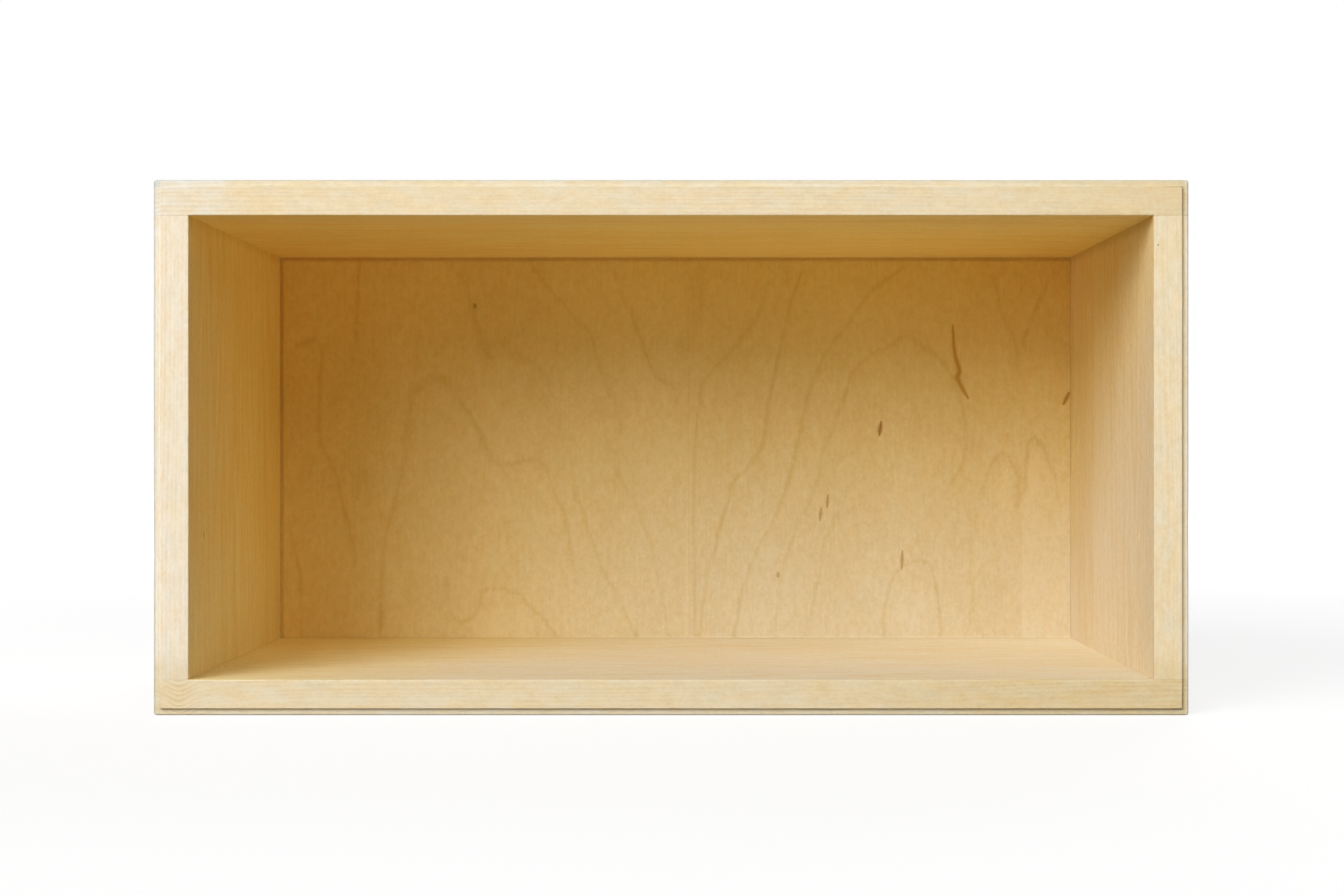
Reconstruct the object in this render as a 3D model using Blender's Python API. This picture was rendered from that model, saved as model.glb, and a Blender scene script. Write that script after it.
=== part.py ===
"""Open box shelf for a hallway wall.

Four solid birch boards are dowelled into a box round a grooved-in back panel. A shadow step runs
round the front edge of the carcass, and two keyhole plates in the rear edges of the sides carry the
shelf on the wall. Metres, +Z up, +X to the right seen from the front, the front edge at -Y. The
origin is the middle of the underside.
"""

import math

import bmesh
import bpy
from mathutils import Matrix, Vector

# Compartment and boards
CLEAR_WIDTH = 0.665
CLEAR_HEIGHT = 0.320
DEPTH = 0.300
BOARD_THICKNESS = 0.025

# Edges: the step round the front, the eased outer edges and the eased mouth of the compartment
STEP_WIDTH = 0.005
STEP_DEPTH = 0.0025
STEP_ARRIS = 0.0006
OUTER_ARRIS = 0.0015
OUTER_CORNER = 0.002
MOUTH_ARRIS = 0.0008
ARC_STEPS = 3

# Back panel: a raised field with a tongue round it, and a shadow gap between field and boards
BACK_THICKNESS = 0.006
BACK_INSET = 0.010
TONGUE_REACH = 0.006
SHADOW_GAP_WIDTH = 0.0015
SHADOW_GAP_DEPTH = 0.0015

# Dowels in the corner joints
DOWEL_DIAMETER = 0.008
DOWEL_LENGTH = 0.040
DOWEL_SEAT = 0.015
DOWEL_CHAMFER = 0.001
DOWEL_END_ROOM = 0.0005
DOWEL_MARGIN = 0.050
DOWELS_PER_JOINT = 3
FLUTES = 8
FLUTE_DEPTH = 0.0003
BORE_SIDES = 16

# Keyhole hanging plates in the rear edges of the sides, with a pocket behind for the wall screw's head
HANGER_WIDTH = 0.016
HANGER_THICKNESS = 0.002
HANGER_CORNER = 0.005
HANGER_DROP = 0.040
KEYHOLE_ENTRY = 0.009
KEYHOLE_SLOT = 0.0052
KEYHOLE_TRAVEL = 0.012
KEYHOLE_LAND = 0.0045
HEAD_POCKET_ROOM = 0.001
HEAD_POCKET_DEPTH = 0.007
ROUND_END_STEPS = 6
ROUND_END_FLAT = 0.0001

# Countersunk screws of the hanging plates
SCREW_DIAMETER = 0.0035
SCREW_HEAD = 0.0065
SCREW_LENGTH = 0.016
SCREW_TIP = 0.004
SCREW_TIP_RADIUS = 0.0006
SCREW_LAND = 0.0035
TURNED_SIDES = 16

# Clearance between pieces that fit together, and how far a cutter runs past the work
FIT_GAP = 0.0003
OVERRUN = 0.003

WIDTH = CLEAR_WIDTH + 2 * BOARD_THICKNESS
HEIGHT = CLEAR_HEIGHT + 2 * BOARD_THICKNESS
FRONT_Y = -DEPTH / 2
REAR_Y = DEPTH / 2
MIDDLE_Z = HEIGHT / 2
TOP_JOINT_Z = HEIGHT - BOARD_THICKNESS
BOTTOM_JOINT_Z = BOARD_THICKNESS
SIDE_X = (CLEAR_WIDTH + BOARD_THICKNESS) / 2
TONGUE_THICKNESS = BACK_THICKNESS - SHADOW_GAP_DEPTH
TONGUE_Y = REAR_Y - BACK_INSET - TONGUE_THICKNESS / 2
HANGER_Z = TOP_JOINT_Z - HANGER_DROP
HANGER_FACE_Y = REAR_Y - FIT_GAP
HANGER_BED_DEPTH = HANGER_THICKNESS + 2 * FIT_GAP
HEAD_POCKET_WIDTH = KEYHOLE_ENTRY + 2 * HEAD_POCKET_ROOM
SCREW_OFFSET = (KEYHOLE_TRAVEL + KEYHOLE_ENTRY + SCREW_HEAD) / 2 + KEYHOLE_LAND
HANGER_HEIGHT = 2 * (SCREW_OFFSET + SCREW_HEAD / 2 + SCREW_LAND)

SIDES = {"left": -1, "right": 1}
ENDS = {"top": 1, "bottom": -1}
QUARTER_TURN = math.pi / 2


def clear_scene():
    """Starts from an empty scene."""
    for item in list(bpy.data.objects):
        bpy.data.objects.remove(item, do_unlink=True)


def finish(name, colour, roughness, metallic=0.0):
    """A Principled material."""
    material = bpy.data.materials.new(name)
    material.use_nodes = True
    shader = material.node_tree.nodes["Principled BSDF"]
    shader.inputs["Base Color"].default_value = (*colour, 1.0)
    shader.inputs["Roughness"].default_value = roughness
    shader.inputs["Metallic"].default_value = metallic
    return material


def add_object(name, shape, place=(0.0, 0.0, 0.0)):
    """An object made from a bmesh, with its faces pointing out."""
    bmesh.ops.recalc_face_normals(shape, faces=shape.faces)
    if shape.calc_volume(signed=True) < 0:
        bmesh.ops.reverse_faces(shape, faces=shape.faces)
    mesh = bpy.data.meshes.new(name)
    shape.to_mesh(mesh)
    shape.free()
    item = bpy.data.objects.new(name, mesh)
    item.location = place
    bpy.context.scene.collection.objects.link(item)
    return item


def add_piece(name, shape, material, place, carcass):
    """A sub-part with its material, parented to the carcass empty."""
    piece = add_object(name, shape, place)
    piece.data.materials.append(material)
    piece.parent = carcass
    return piece


def add_cutter(name, shape):
    """A cutting shape that is drawn as wire and never rendered."""
    cutter = add_object(name, shape)
    cutter.hide_render = True
    cutter.display_type = "WIRE"
    return cutter


def cut(piece, *cutters):
    """Takes the cutters' shapes out of a piece."""
    for cutter in cutters:
        modifier = piece.modifiers.new(cutter.name, "BOOLEAN")
        modifier.operation = "DIFFERENCE"
        modifier.solver = "EXACT"
        modifier.object = cutter


def add_block(shape, size, centre=(0.0, 0.0, 0.0)):
    """Adds a box to a bmesh and returns its vertices."""
    matrix = Matrix.Translation(centre) @ Matrix.Diagonal((*size, 1.0))
    return bmesh.ops.create_cube(shape, size=1.0, matrix=matrix)["verts"]


def add_rounded_plate(shape, size, centre, radius):
    """Adds a plate that lies across Y, with its four corners rounded."""
    corners = {
        edge
        for vert in add_block(shape, size, centre)
        for edge in vert.link_edges
        if abs((edge.verts[0].co - edge.verts[1].co).normalized().y) > 0.5
    }
    bmesh.ops.bevel(
        shape, geom=list(corners), offset=radius, offset_type="OFFSET",
        segments=ROUND_END_STEPS, profile=0.5, affect="EDGES",
    )


def add_turned(shape, profile, place):
    """Adds a solid turned about Y from (radius, distance in from the rear) points, rear end first."""
    centre = Vector(place)
    points = [centre + Vector((radius, -inward, 0.0)) for radius, inward in profile]
    verts = [shape.verts.new(point) for point in points]
    edges = [shape.edges.new(pair) for pair in zip(verts, verts[1:])]
    bmesh.ops.spin(
        shape, geom=verts + edges, cent=centre, axis=(0.0, 1.0, 0.0),
        angle=2 * math.pi, steps=TURNED_SIDES, use_merge=True,
    )
    rims = [edge for edge in shape.edges if edge.is_boundary]
    bmesh.ops.holes_fill(shape, edges=rims, sides=TURNED_SIDES)


def add_skin(shape, loops):
    """Adds faces from each closed loop of vertices to the next."""
    for here, after in zip(loops, loops[1:]):
        for index in range(len(here)):
            shape.faces.new((here[index - 1], here[index], after[index], after[index - 1]))


def arc(centre, radius, across):
    """Quarter arc of a section, from the edge plane to the face; across is the way it turns."""
    return [
        (
            centre[0] + across * radius * math.sin(QUARTER_TURN * step / ARC_STEPS),
            centre[1] - radius * math.cos(QUARTER_TURN * step / ARC_STEPS),
        )
        for step in range(ARC_STEPS + 1)
    ]


def step_section():
    """Section of the shadow step: the eased raised edge, the step's wall and floor, the outer edge."""
    raised = -(STEP_WIDTH + STEP_ARRIS)
    floor_end = STEP_DEPTH + OUTER_ARRIS
    return [
        *arc((raised, STEP_ARRIS), STEP_ARRIS, 1),
        (-STEP_WIDTH, STEP_DEPTH),
        *arc((-OUTER_ARRIS, floor_end), OUTER_ARRIS, 1),
        (OVERRUN, floor_end),
        (OVERRUN, -OVERRUN),
        (raised, -OVERRUN),
    ]


def arris_section(radius, outside):
    """Section that eases one edge; outside is 1 on the carcass and -1 round the compartment."""
    return [
        *arc((-outside * radius, radius), radius, outside),
        (outside * OVERRUN, radius),
        (outside * OVERRUN, -OVERRUN),
        (-outside * radius, -OVERRUN),
    ]


def moulding_cutter(name, width, height, section, edge_y):
    """A closed ring that carries a section round a rectangle in the front or rear edge plane.

    Each section point is how far it lies outside the rectangle and how far in from the edge plane.
    """
    inward_y = -math.copysign(1.0, edge_y)
    shape = bmesh.new()
    loops = []
    for outward, inward in section:
        half_width = width / 2 + outward
        half_height = height / 2 + outward
        y = edge_y + inward_y * inward
        corners = ((-1, -1), (1, -1), (1, 1), (-1, 1))
        loops.append([
            shape.verts.new((x * half_width, y, MIDDLE_Z + z * half_height)) for x, z in corners
        ])
    add_skin(shape, loops + loops[:1])
    return add_cutter(name, shape)


def groove_cutter():
    """The room that the back panel's tongue takes in all four boards."""
    reach = 2 * (TONGUE_REACH + FIT_GAP)
    size = (CLEAR_WIDTH + reach, TONGUE_THICKNESS + 2 * FIT_GAP, CLEAR_HEIGHT + reach)
    shape = bmesh.new()
    add_block(shape, size, (0.0, TONGUE_Y, MIDDLE_Z))
    return add_cutter("groove_cutter", shape)


def dowel_places():
    """Name and centre of each dowel, with its longer part in the side."""
    first = FRONT_Y + DOWEL_MARGIN
    pitch = (DEPTH - 2 * DOWEL_MARGIN) / (DOWELS_PER_JOINT - 1)
    from_joint = DOWEL_LENGTH / 2 - DOWEL_SEAT
    for end, up in ENDS.items():
        joint_z = TOP_JOINT_Z if up > 0 else BOTTOM_JOINT_Z
        for side, across in SIDES.items():
            for count in range(DOWELS_PER_JOINT):
                place = Vector((across * SIDE_X, first + pitch * count, joint_z - up * from_joint))
                yield f"dowel_{end}_{side}_{count + 1}", place


def dowel_bore_cutter():
    """The blind bores that each dowel sits in, half in a board and half in the end of a side."""
    radius = (DOWEL_DIAMETER / 2 + FIT_GAP) / math.cos(math.pi / BORE_SIDES)
    shape = bmesh.new()
    for _, centre in dowel_places():
        bmesh.ops.create_cone(
            shape, cap_ends=True, segments=BORE_SIDES, radius1=radius, radius2=radius,
            depth=DOWEL_LENGTH + 2 * DOWEL_END_ROOM, matrix=Matrix.Translation(centre),
        )
    return add_cutter("dowel_bore_cutter", shape)


def hanger_bed_cutter():
    """The shallow beds that the hanging plates lie in, flush with the rear edges."""
    size = (HANGER_WIDTH + 2 * FIT_GAP, HANGER_BED_DEPTH + OVERRUN, HANGER_HEIGHT + 2 * FIT_GAP)
    shape = bmesh.new()
    for across in SIDES.values():
        centre = (across * SIDE_X, REAR_Y - HANGER_BED_DEPTH + size[1] / 2, HANGER_Z)
        add_rounded_plate(shape, size, centre, HANGER_CORNER + FIT_GAP)
    return add_cutter("hanger_bed_cutter", shape)


def upright_slot_cutter(name, width, depth):
    """Upright round-ended slots as long as the keyholes' travel, cut in from the rear."""
    size = (width, depth + OVERRUN, KEYHOLE_TRAVEL + width)
    shape = bmesh.new()
    for across in SIDES.values():
        centre = (across * SIDE_X, REAR_Y - depth + size[1] / 2, HANGER_Z)
        add_rounded_plate(shape, size, centre, (width - ROUND_END_FLAT) / 2)
    return add_cutter(name, shape)


def keyhole_entry_cutter():
    """The round lower ends of the keyholes, where the head of the wall screw goes in."""
    radius = KEYHOLE_ENTRY / 2
    shape = bmesh.new()
    for across in SIDES.values():
        place = (across * SIDE_X, REAR_Y, HANGER_Z - KEYHOLE_TRAVEL / 2)
        add_turned(shape, [(radius, -OVERRUN), (radius, HANGER_BED_DEPTH)], place)
    return add_cutter("keyhole_entry_cutter", shape)


def screw_places():
    """Name and head centre of each hanging-plate screw."""
    for side, across in SIDES.items():
        for level, up in (("upper", 1), ("lower", -1)):
            place = Vector((across * SIDE_X, HANGER_FACE_Y, HANGER_Z + up * SCREW_OFFSET))
            yield f"hanger_screw_{side}_{level}", place


def screw_profile(gap):
    """Countersunk head and shank as (radius, distance in from the plate's face) points."""
    head = SCREW_HEAD / 2
    shank = SCREW_DIAMETER / 2
    return [(head + gap, 0.0), (shank + gap, head - shank)]


def screw_bore_cutter():
    """Countersunk holes through the plates, running on as pilot holes into the sides."""
    head, shank = screw_profile(FIT_GAP)
    mouth = (head[0], -OVERRUN)
    shape = bmesh.new()
    for _, place in screw_places():
        add_turned(shape, [mouth, head, shank, (shank[0], SCREW_LENGTH + FIT_GAP)], place)
    return add_cutter("screw_bore_cutter", shape)


def add_level_board(end, up, material, carcass):
    """The top or the bottom board, with its two outer ends eased along the depth."""
    shape = bmesh.new()
    add_block(shape, (WIDTH, DEPTH, BOARD_THICKNESS))
    outer_ends = [
        edge
        for edge in shape.edges
        if all(vert.co.z * up > 0 for vert in edge.verts)
        and edge.verts[0].co.x == edge.verts[1].co.x
    ]
    bmesh.ops.bevel(
        shape, geom=outer_ends, offset=OUTER_CORNER, offset_type="OFFSET",
        segments=ARC_STEPS, profile=0.5, affect="EDGES",
    )
    place = (0.0, 0.0, MIDDLE_Z + up * (HEIGHT - BOARD_THICKNESS) / 2)
    return add_piece(f"{end}_board", shape, material, place, carcass)


def add_side(side, across, material, carcass):
    """A side that stands between the top and the bottom board."""
    shape = bmesh.new()
    add_block(shape, (BOARD_THICKNESS, DEPTH, CLEAR_HEIGHT - 2 * FIT_GAP))
    return add_piece(f"{side}_side", shape, material, (across * SIDE_X, 0.0, MIDDLE_Z), carcass)


def add_back(material, carcass):
    """The back panel: a tongue all round and a raised field towards the compartment."""
    size = (CLEAR_WIDTH + 2 * TONGUE_REACH, TONGUE_THICKNESS, CLEAR_HEIGHT + 2 * TONGUE_REACH)
    shape = bmesh.new()
    add_block(shape, size)
    face = min(shape.faces, key=lambda item: item.calc_center_median().y)
    bmesh.ops.inset_region(
        shape, faces=[face], thickness=TONGUE_REACH + SHADOW_GAP_WIDTH, use_even_offset=True,
    )
    raised = bmesh.ops.extrude_face_region(shape, geom=[face])["geom"]
    bmesh.ops.delete(shape, geom=[face], context="FACES_KEEP_BOUNDARY")
    verts = [item for item in raised if isinstance(item, bmesh.types.BMVert)]
    bmesh.ops.translate(shape, verts=verts, vec=(0.0, -SHADOW_GAP_DEPTH, 0.0))
    return add_piece("back_panel", shape, material, (0.0, TONGUE_Y, MIDDLE_Z), carcass)


def add_dowel(name, place, material, carcass):
    """A fluted dowel with chamfered ends."""
    radius = DOWEL_DIAMETER / 2
    half = DOWEL_LENGTH / 2
    levels = (
        (-half, radius - DOWEL_CHAMFER),
        (DOWEL_CHAMFER - half, radius),
        (half - DOWEL_CHAMFER, radius),
        (half, radius - DOWEL_CHAMFER),
    )
    shape = bmesh.new()
    loops = []
    for height, outer in levels:
        loop = []
        for index in range(2 * FLUTES):
            angle = math.pi * index / FLUTES
            reach = outer - FLUTE_DEPTH * (index % 2)
            loop.append(shape.verts.new((reach * math.cos(angle), reach * math.sin(angle), height)))
        loops.append(loop)
    add_skin(shape, loops)
    shape.faces.new(loops[0])
    shape.faces.new(loops[-1])
    return add_piece(name, shape, material, place, carcass)


def add_hanger(side, across, material, carcass):
    """A keyhole hanging plate, a fit gap below the rear edge that it is let into."""
    shape = bmesh.new()
    size = (HANGER_WIDTH, HANGER_THICKNESS, HANGER_HEIGHT)
    add_rounded_plate(shape, size, (0.0, 0.0, 0.0), HANGER_CORNER)
    place = (across * SIDE_X, HANGER_FACE_Y - HANGER_THICKNESS / 2, HANGER_Z)
    return add_piece(f"hanger_{side}", shape, material, place, carcass)


def add_screw(name, place, material, carcass):
    """A countersunk screw, its head flush with the plate."""
    head, shank = screw_profile(0.0)
    profile = [
        head,
        shank,
        (shank[0], SCREW_LENGTH - SCREW_TIP),
        (SCREW_TIP_RADIUS, SCREW_LENGTH),
    ]
    shape = bmesh.new()
    add_turned(shape, profile, (0.0, 0.0, 0.0))
    screw = add_piece(name, shape, material, place, carcass)
    screw.data.shade_smooth()
    screw.data.set_sharp_from_angle(angle=math.radians(35))
    return screw


def main():
    """Builds the shelf."""
    clear_scene()
    birch = finish("birch_board", (0.77, 0.60, 0.37), 0.45)
    veneer = finish("birch_veneer", (0.74, 0.55, 0.30), 0.45)
    beech = finish("beech_dowel", (0.62, 0.42, 0.25), 0.60)
    zinc = finish("zinc_steel", (0.62, 0.62, 0.60), 0.35, 1.0)

    carcass = bpy.data.objects.new("carcass", None)
    bpy.context.scene.collection.objects.link(carcass)

    step = moulding_cutter("step_cutter", WIDTH, HEIGHT, step_section(), FRONT_Y)
    mouth = moulding_cutter(
        "mouth_cutter", CLEAR_WIDTH, CLEAR_HEIGHT, arris_section(MOUTH_ARRIS, -1), FRONT_Y,
    )
    rear = moulding_cutter("rear_edge_cutter", WIDTH, HEIGHT, arris_section(OUTER_ARRIS, 1), REAR_Y)
    groove = groove_cutter()
    dowel_bores = dowel_bore_cutter()
    bed = hanger_bed_cutter()
    head_pocket = upright_slot_cutter("head_pocket_cutter", HEAD_POCKET_WIDTH, HEAD_POCKET_DEPTH)
    keyhole_slot = upright_slot_cutter("keyhole_slot_cutter", KEYHOLE_SLOT, HANGER_BED_DEPTH)
    keyhole_entry = keyhole_entry_cutter()
    screw_bores = screw_bore_cutter()

    for end, up in ENDS.items():
        board = add_level_board(end, up, birch, carcass)
        cut(board, step, mouth, rear, groove, dowel_bores)
    for side, across in SIDES.items():
        upright = add_side(side, across, birch, carcass)
        cut(upright, step, mouth, rear, groove, dowel_bores, bed, head_pocket, screw_bores)
        plate = add_hanger(side, across, zinc, carcass)
        cut(plate, keyhole_slot, keyhole_entry, screw_bores)
    add_back(veneer, carcass)
    for name, place in dowel_places():
        add_dowel(name, place, beech, carcass)
    for name, place in screw_places():
        add_screw(name, place, zinc, carcass)


main()
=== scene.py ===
"""Dresses the box shelf: solid birch boards, a veneered birch back and zinc hanging plates behind.

Metres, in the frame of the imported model: +X to the right seen from the front, +Y from the open front
to the back, +Z up.
"""

from __future__ import annotations

import logging
import math
from collections.abc import Callable, Iterable, Sequence
from dataclasses import dataclass, field
from enum import Enum

import bmesh
import bpy
import numpy as np
from bmesh.types import BMEdge, BMFace, BMVert
from mathutils import Matrix, Vector


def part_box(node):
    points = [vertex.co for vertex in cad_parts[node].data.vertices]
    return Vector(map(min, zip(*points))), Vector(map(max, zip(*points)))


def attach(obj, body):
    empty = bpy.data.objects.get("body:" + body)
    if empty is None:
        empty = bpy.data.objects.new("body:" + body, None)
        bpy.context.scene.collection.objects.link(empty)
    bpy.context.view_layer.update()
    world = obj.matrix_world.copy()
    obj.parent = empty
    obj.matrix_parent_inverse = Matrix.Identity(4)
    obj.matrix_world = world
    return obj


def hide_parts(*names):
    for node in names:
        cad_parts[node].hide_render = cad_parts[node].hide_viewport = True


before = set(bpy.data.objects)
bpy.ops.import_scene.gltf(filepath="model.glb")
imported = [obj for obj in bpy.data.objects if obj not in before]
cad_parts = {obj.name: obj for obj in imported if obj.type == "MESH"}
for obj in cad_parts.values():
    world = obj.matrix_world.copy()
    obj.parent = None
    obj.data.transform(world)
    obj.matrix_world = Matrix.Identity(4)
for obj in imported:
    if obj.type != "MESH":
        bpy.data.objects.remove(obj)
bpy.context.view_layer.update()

LOG = logging.getLogger("box_shelf")

Pair = tuple[float, float]
Triple = tuple[float, float, float]
Colour = Triple
Socket = bpy.types.NodeSocket
Material = bpy.types.Material

BODY = "root"
NEAR = 1e-6
FULL_TURN = 2 * math.pi
QUARTER_TURN = math.pi / 2
MM = 1000  # in a metre
WHITE = (1.0, 1.0, 1.0)
FORWARD = (0.0, -1.0, 0.0)
FRONT = (-0.1440, -0.1456)  # depths between which a tint of the front edges sets in
THROUGH = (-0.3, -0.2)  # the same for a tint of the whole depth
NOISE_SHIFT = (1.0, 1.7, 2.3)
PORE = (0.10, 0.24)  # noise between which a pore opens


class Axis(Enum):
    """A direction of the frame."""

    X = 0
    Y = 1
    Z = 2

    @property
    def way(self) -> Vector:
        """Unit vector along the axis."""
        return Vector([1.0 if i == self.value else 0.0 for i in range(3)])


class Worded(Enum):
    """A choice whose word stands in the names of pieces."""

    @property
    def word(self) -> str:
        """The choice's word."""
        return self.name.lower()


class Hand(Worded):
    """The two sides of the shelf, by their direction along X."""

    LEFT = -1
    RIGHT = 1


class Level(Worded):
    """The two boards that run the full width, by their outward direction along Z."""

    BOTTOM = -1
    TOP = 1


class Grain(Enum):
    """Which way a board's fibres run."""

    LEVEL = Axis.X
    UPRIGHT = Axis.Z


class RingData(Enum):
    """What the back panel's mesh stores of the growth rings."""

    DEPTH = "ring_depth"
    SPACING = "ring_spacing"
    PRESENCE = "ring_presence"


class Slot(Enum):
    """The record's material slots of the pieces built here."""

    BOARD = "birch_board"
    VENEER = "birch_veneer"
    ZINC = "zinc_steel"


def near(a: float, b: float) -> bool:
    """Whether two lengths are the same."""
    return abs(a - b) < NEAR


def tinted(colour: Colour, tint: Colour) -> Colour:
    """Returns a colour times a tint."""
    return tuple(part * share for part, share in zip(colour, tint))


def stand(name: str, data: bpy.types.ID) -> bpy.types.Object:
    """Puts a new object into the scene and returns it."""
    item = bpy.data.objects.new(name, data)
    bpy.context.scene.collection.objects.link(item)
    return item


class Value:
    """A number that changes over a surface, used in Python expressions."""

    def __init__(self, bench: Bench, socket: Socket) -> None:
        """Wraps a socket of the bench's nodes."""
        self.bench = bench
        self.socket = socket

    def __add__(self, other: Value | float) -> Value:
        """Sum."""
        return self.bench.maths("ADD", self, other)

    def __sub__(self, other: Value | float) -> Value:
        """Difference."""
        return self.bench.maths("SUBTRACT", self, other)

    def __mul__(self, other: Value | float) -> Value:
        """Product."""
        return self.bench.maths("MULTIPLY", self, other)

    def __truediv__(self, other: Value | float) -> Value:
        """Quotient."""
        return self.bench.maths("DIVIDE", self, other)

    def __rsub__(self, other: float) -> Value:
        """Number less this value."""
        return self.bench.maths("SUBTRACT", other, self)

    def __rtruediv__(self, other: float) -> Value:
        """Number divided by this value."""
        return self.bench.maths("DIVIDE", other, self)

    def __abs__(self) -> Value:
        """Value without its sign."""
        return self.bench.maths("ABSOLUTE", self)

    __radd__ = __add__
    __rmul__ = __mul__


Feed = Value | Socket | float | Sequence[float]
Inputs = dict[str | int, Feed]


class Bench:
    """A material or world under work: its node tree and the ways to add to it."""

    def __init__(self, owner: Material | bpy.types.World) -> None:
        """Clears the owner's node tree for new nodes."""
        owner.use_nodes = True
        self.owner = owner
        self.tree = owner.node_tree
        self.tree.nodes.clear()

    @classmethod
    def material(cls, name: str) -> Bench:
        """Starts a new material."""
        return cls(bpy.data.materials.new(name))

    def node(self, kind: str, inputs: Inputs | None = None, **settings: object) -> bpy.types.Node:
        """Adds a node.

        Args:
            kind: The node's type, without the leading ShaderNode.
            inputs: Values or links of its sockets, by name or number.
            settings: Properties of the node, set first.

        Returns:
            The new node.
        """
        made = self.tree.nodes.new(f"ShaderNode{kind}")
        for name, setting in settings.items():
            setattr(made, name, setting)
        for name, feed in (inputs or {}).items():
            source = feed.socket if isinstance(feed, Value) else feed
            if isinstance(source, Socket):
                self.tree.links.new(source, made.inputs[name])
            else:
                made.inputs[name].default_value = source
        return made

    def maths(self, operation: str, *feeds: Value | float) -> Value:
        """Returns the result of a Math node."""
        return Value(self, self.node("Math", dict(enumerate(feeds)), operation=operation).outputs[0])

    def measure(self, operation: str, *feeds: Feed) -> Value:
        """Returns the number that a Vector Math node gives."""
        made = self.node("VectorMath", dict(enumerate(feeds)), operation=operation)
        return Value(self, made.outputs["Value"])

    def smooth(self, value: Value, low: float, high: float) -> Value:
        """Returns 0 at low and 1 at high, with an eased rise between them."""
        inputs = {"Value": value, "From Min": low, "From Max": high}
        return Value(self, self.node("MapRange", inputs, interpolation_type="SMOOTHSTEP").outputs[0])

    def places(self) -> Socket:
        """Returns the piece's own coordinates."""
        return self.node("TexCoord").outputs["Object"]

    def parts(self, vector: Socket) -> tuple[Value, Value, Value]:
        """Returns the three numbers of a vector."""
        return tuple(Value(self, socket) for socket in self.node("SeparateXYZ", {0: vector}).outputs)

    def vector(self, *parts: Value | float) -> Socket:
        """Returns a vector made of three numbers."""
        return self.node("CombineXYZ", dict(enumerate(parts))).outputs[0]

    def attribute(self, stored: RingData) -> Value:
        """Returns a number that is stored on the mesh."""
        return Value(self, self.node("Attribute", attribute_name=stored.value).outputs["Fac"])

    def noise(self, vector: Socket, scale: Triple, detail: float, shift: float = 0.0) -> Value:
        """Returns stretched noise, centred on zero.

        Args:
            vector: Coordinates that it follows.
            scale: Cells per metre along each axis.
            detail: Octaves of finer noise.
            shift: Moves the pattern, so that two boards differ.

        Returns:
            Noise of about -0.5 to 0.5.
        """
        location = tuple(shift * part for part in NOISE_SHIFT)
        stretched = self.node("Mapping", {"Vector": vector, "Location": location, "Scale": scale})
        made = self.node("TexNoise", {"Vector": stretched.outputs[0], "Scale": 1.0, "Detail": detail})
        return Value(self, made.outputs[0]) - 0.5

    def chance(self, number: Value) -> tuple[Value, Value, Value]:
        """Returns three steady random numbers for each whole number."""
        return self.parts(self.node("TexWhiteNoise", {"W": number}, noise_dimensions="1D").outputs["Color"])

    def blend(self, under: Feed, over: Feed, share: Value, way: str = "MIX") -> Socket:
        """Returns one colour laid over another.

        Args:
            under: Colour below.
            over: Colour on top.
            share: How much of the top one shows.
            way: How the two are joined.

        Returns:
            The joined colour.
        """
        inputs = {0: share, 6: self.paint(under), 7: self.paint(over)}
        return self.node("Mix", inputs, data_type="RGBA", blend_type=way, clamp_factor=True).outputs[2]

    def tint(self, colour: Feed, tint: Colour, share: Value) -> Socket:
        """Returns a colour times a tint, as far as the share says."""
        return self.blend(colour, tint, share, "MULTIPLY")

    @staticmethod
    def paint(colour: Feed) -> Feed:
        """Returns a written colour with its alpha, and a linked one as it is."""
        return (*colour, 1.0) if isinstance(colour, tuple) else colour

    def stroke(self, vector: Socket, streak: Streak) -> Value:
        """Returns 1 along a streak's line, falling softly to 0 at its rim."""
        nearest = None
        for (x, z, width), (next_x, next_z, next_width) in zip(streak.places, streak.places[1:]):
            start = Vector((x / MM, streak.y, z / MM))
            run = Vector((next_x - x, 0.0, next_z - z)) / MM
            away = self.node("VectorMath", {0: vector, 1: start}, operation="SUBTRACT").outputs[0]
            share = self.measure("DOT_PRODUCT", away, run / run.length_squared)
            share = self.maths("MINIMUM", self.maths("MAXIMUM", share, 0.0), 1.0)
            foot = self.node("VectorMath", {0: run, "Scale": share}, operation="SCALE").outputs[0]
            reach = self.measure("DISTANCE", away, foot) / ((share * (next_width - width) + width) / MM)
            nearest = reach if nearest is None else self.maths("MINIMUM", nearest, reach)
        return self.smooth(nearest, 1.0, 0.0)

    def spot(self, vector: Socket, mark: Mark) -> Value:
        """Returns 1 inside a long mark in the wood, with a soft rim."""
        inputs = {
            "Vector": vector,
            "Location": mark.centre,
            "Rotation": (0.0, math.radians(mark.lean), 0.0),
            "Scale": (mark.width / 2, mark.width, mark.length / 2),
        }
        turned = self.node("Mapping", inputs, vector_type="TEXTURE")
        return self.smooth(self.measure("LENGTH", turned.outputs[0]), 1.0, mark.core)

    def facing(self, way: Sequence[float], low: float, high: float) -> Value:
        """Returns 1 where the surface faces a direction, with an eased rise between two cosines."""
        normal = self.node("NewGeometry").outputs["True Normal"]
        return self.smooth(self.measure("DOT_PRODUCT", normal, tuple(way)), low, high)

    def bump(self, height: Value, strength: float, distance: float) -> Socket:
        """Returns normals that follow a fine relief."""
        return self.node("Bump", {"Height": height, "Strength": strength, "Distance": distance}).outputs[0]

    def seen(self, plain: bpy.types.Node, shown: bpy.types.Node) -> bpy.types.Node:
        """Returns the plain shader for the light, and the shown one for what the camera sees."""
        path = self.node("LightPath").outputs
        direct = self.maths("MAXIMUM", path["Is Camera Ray"], path["Is Glossy Ray"])
        share = self.maths("MAXIMUM", direct, path["Is Transmission Ray"])
        return self.node("MixShader", {0: share, 1: plain.outputs[0], 2: shown.outputs[0]})

    def surface(self, inputs: Inputs) -> Material:
        """Ends the material with a Principled shader and returns it."""
        return self.end(self.node("BsdfPrincipled", inputs))

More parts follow.
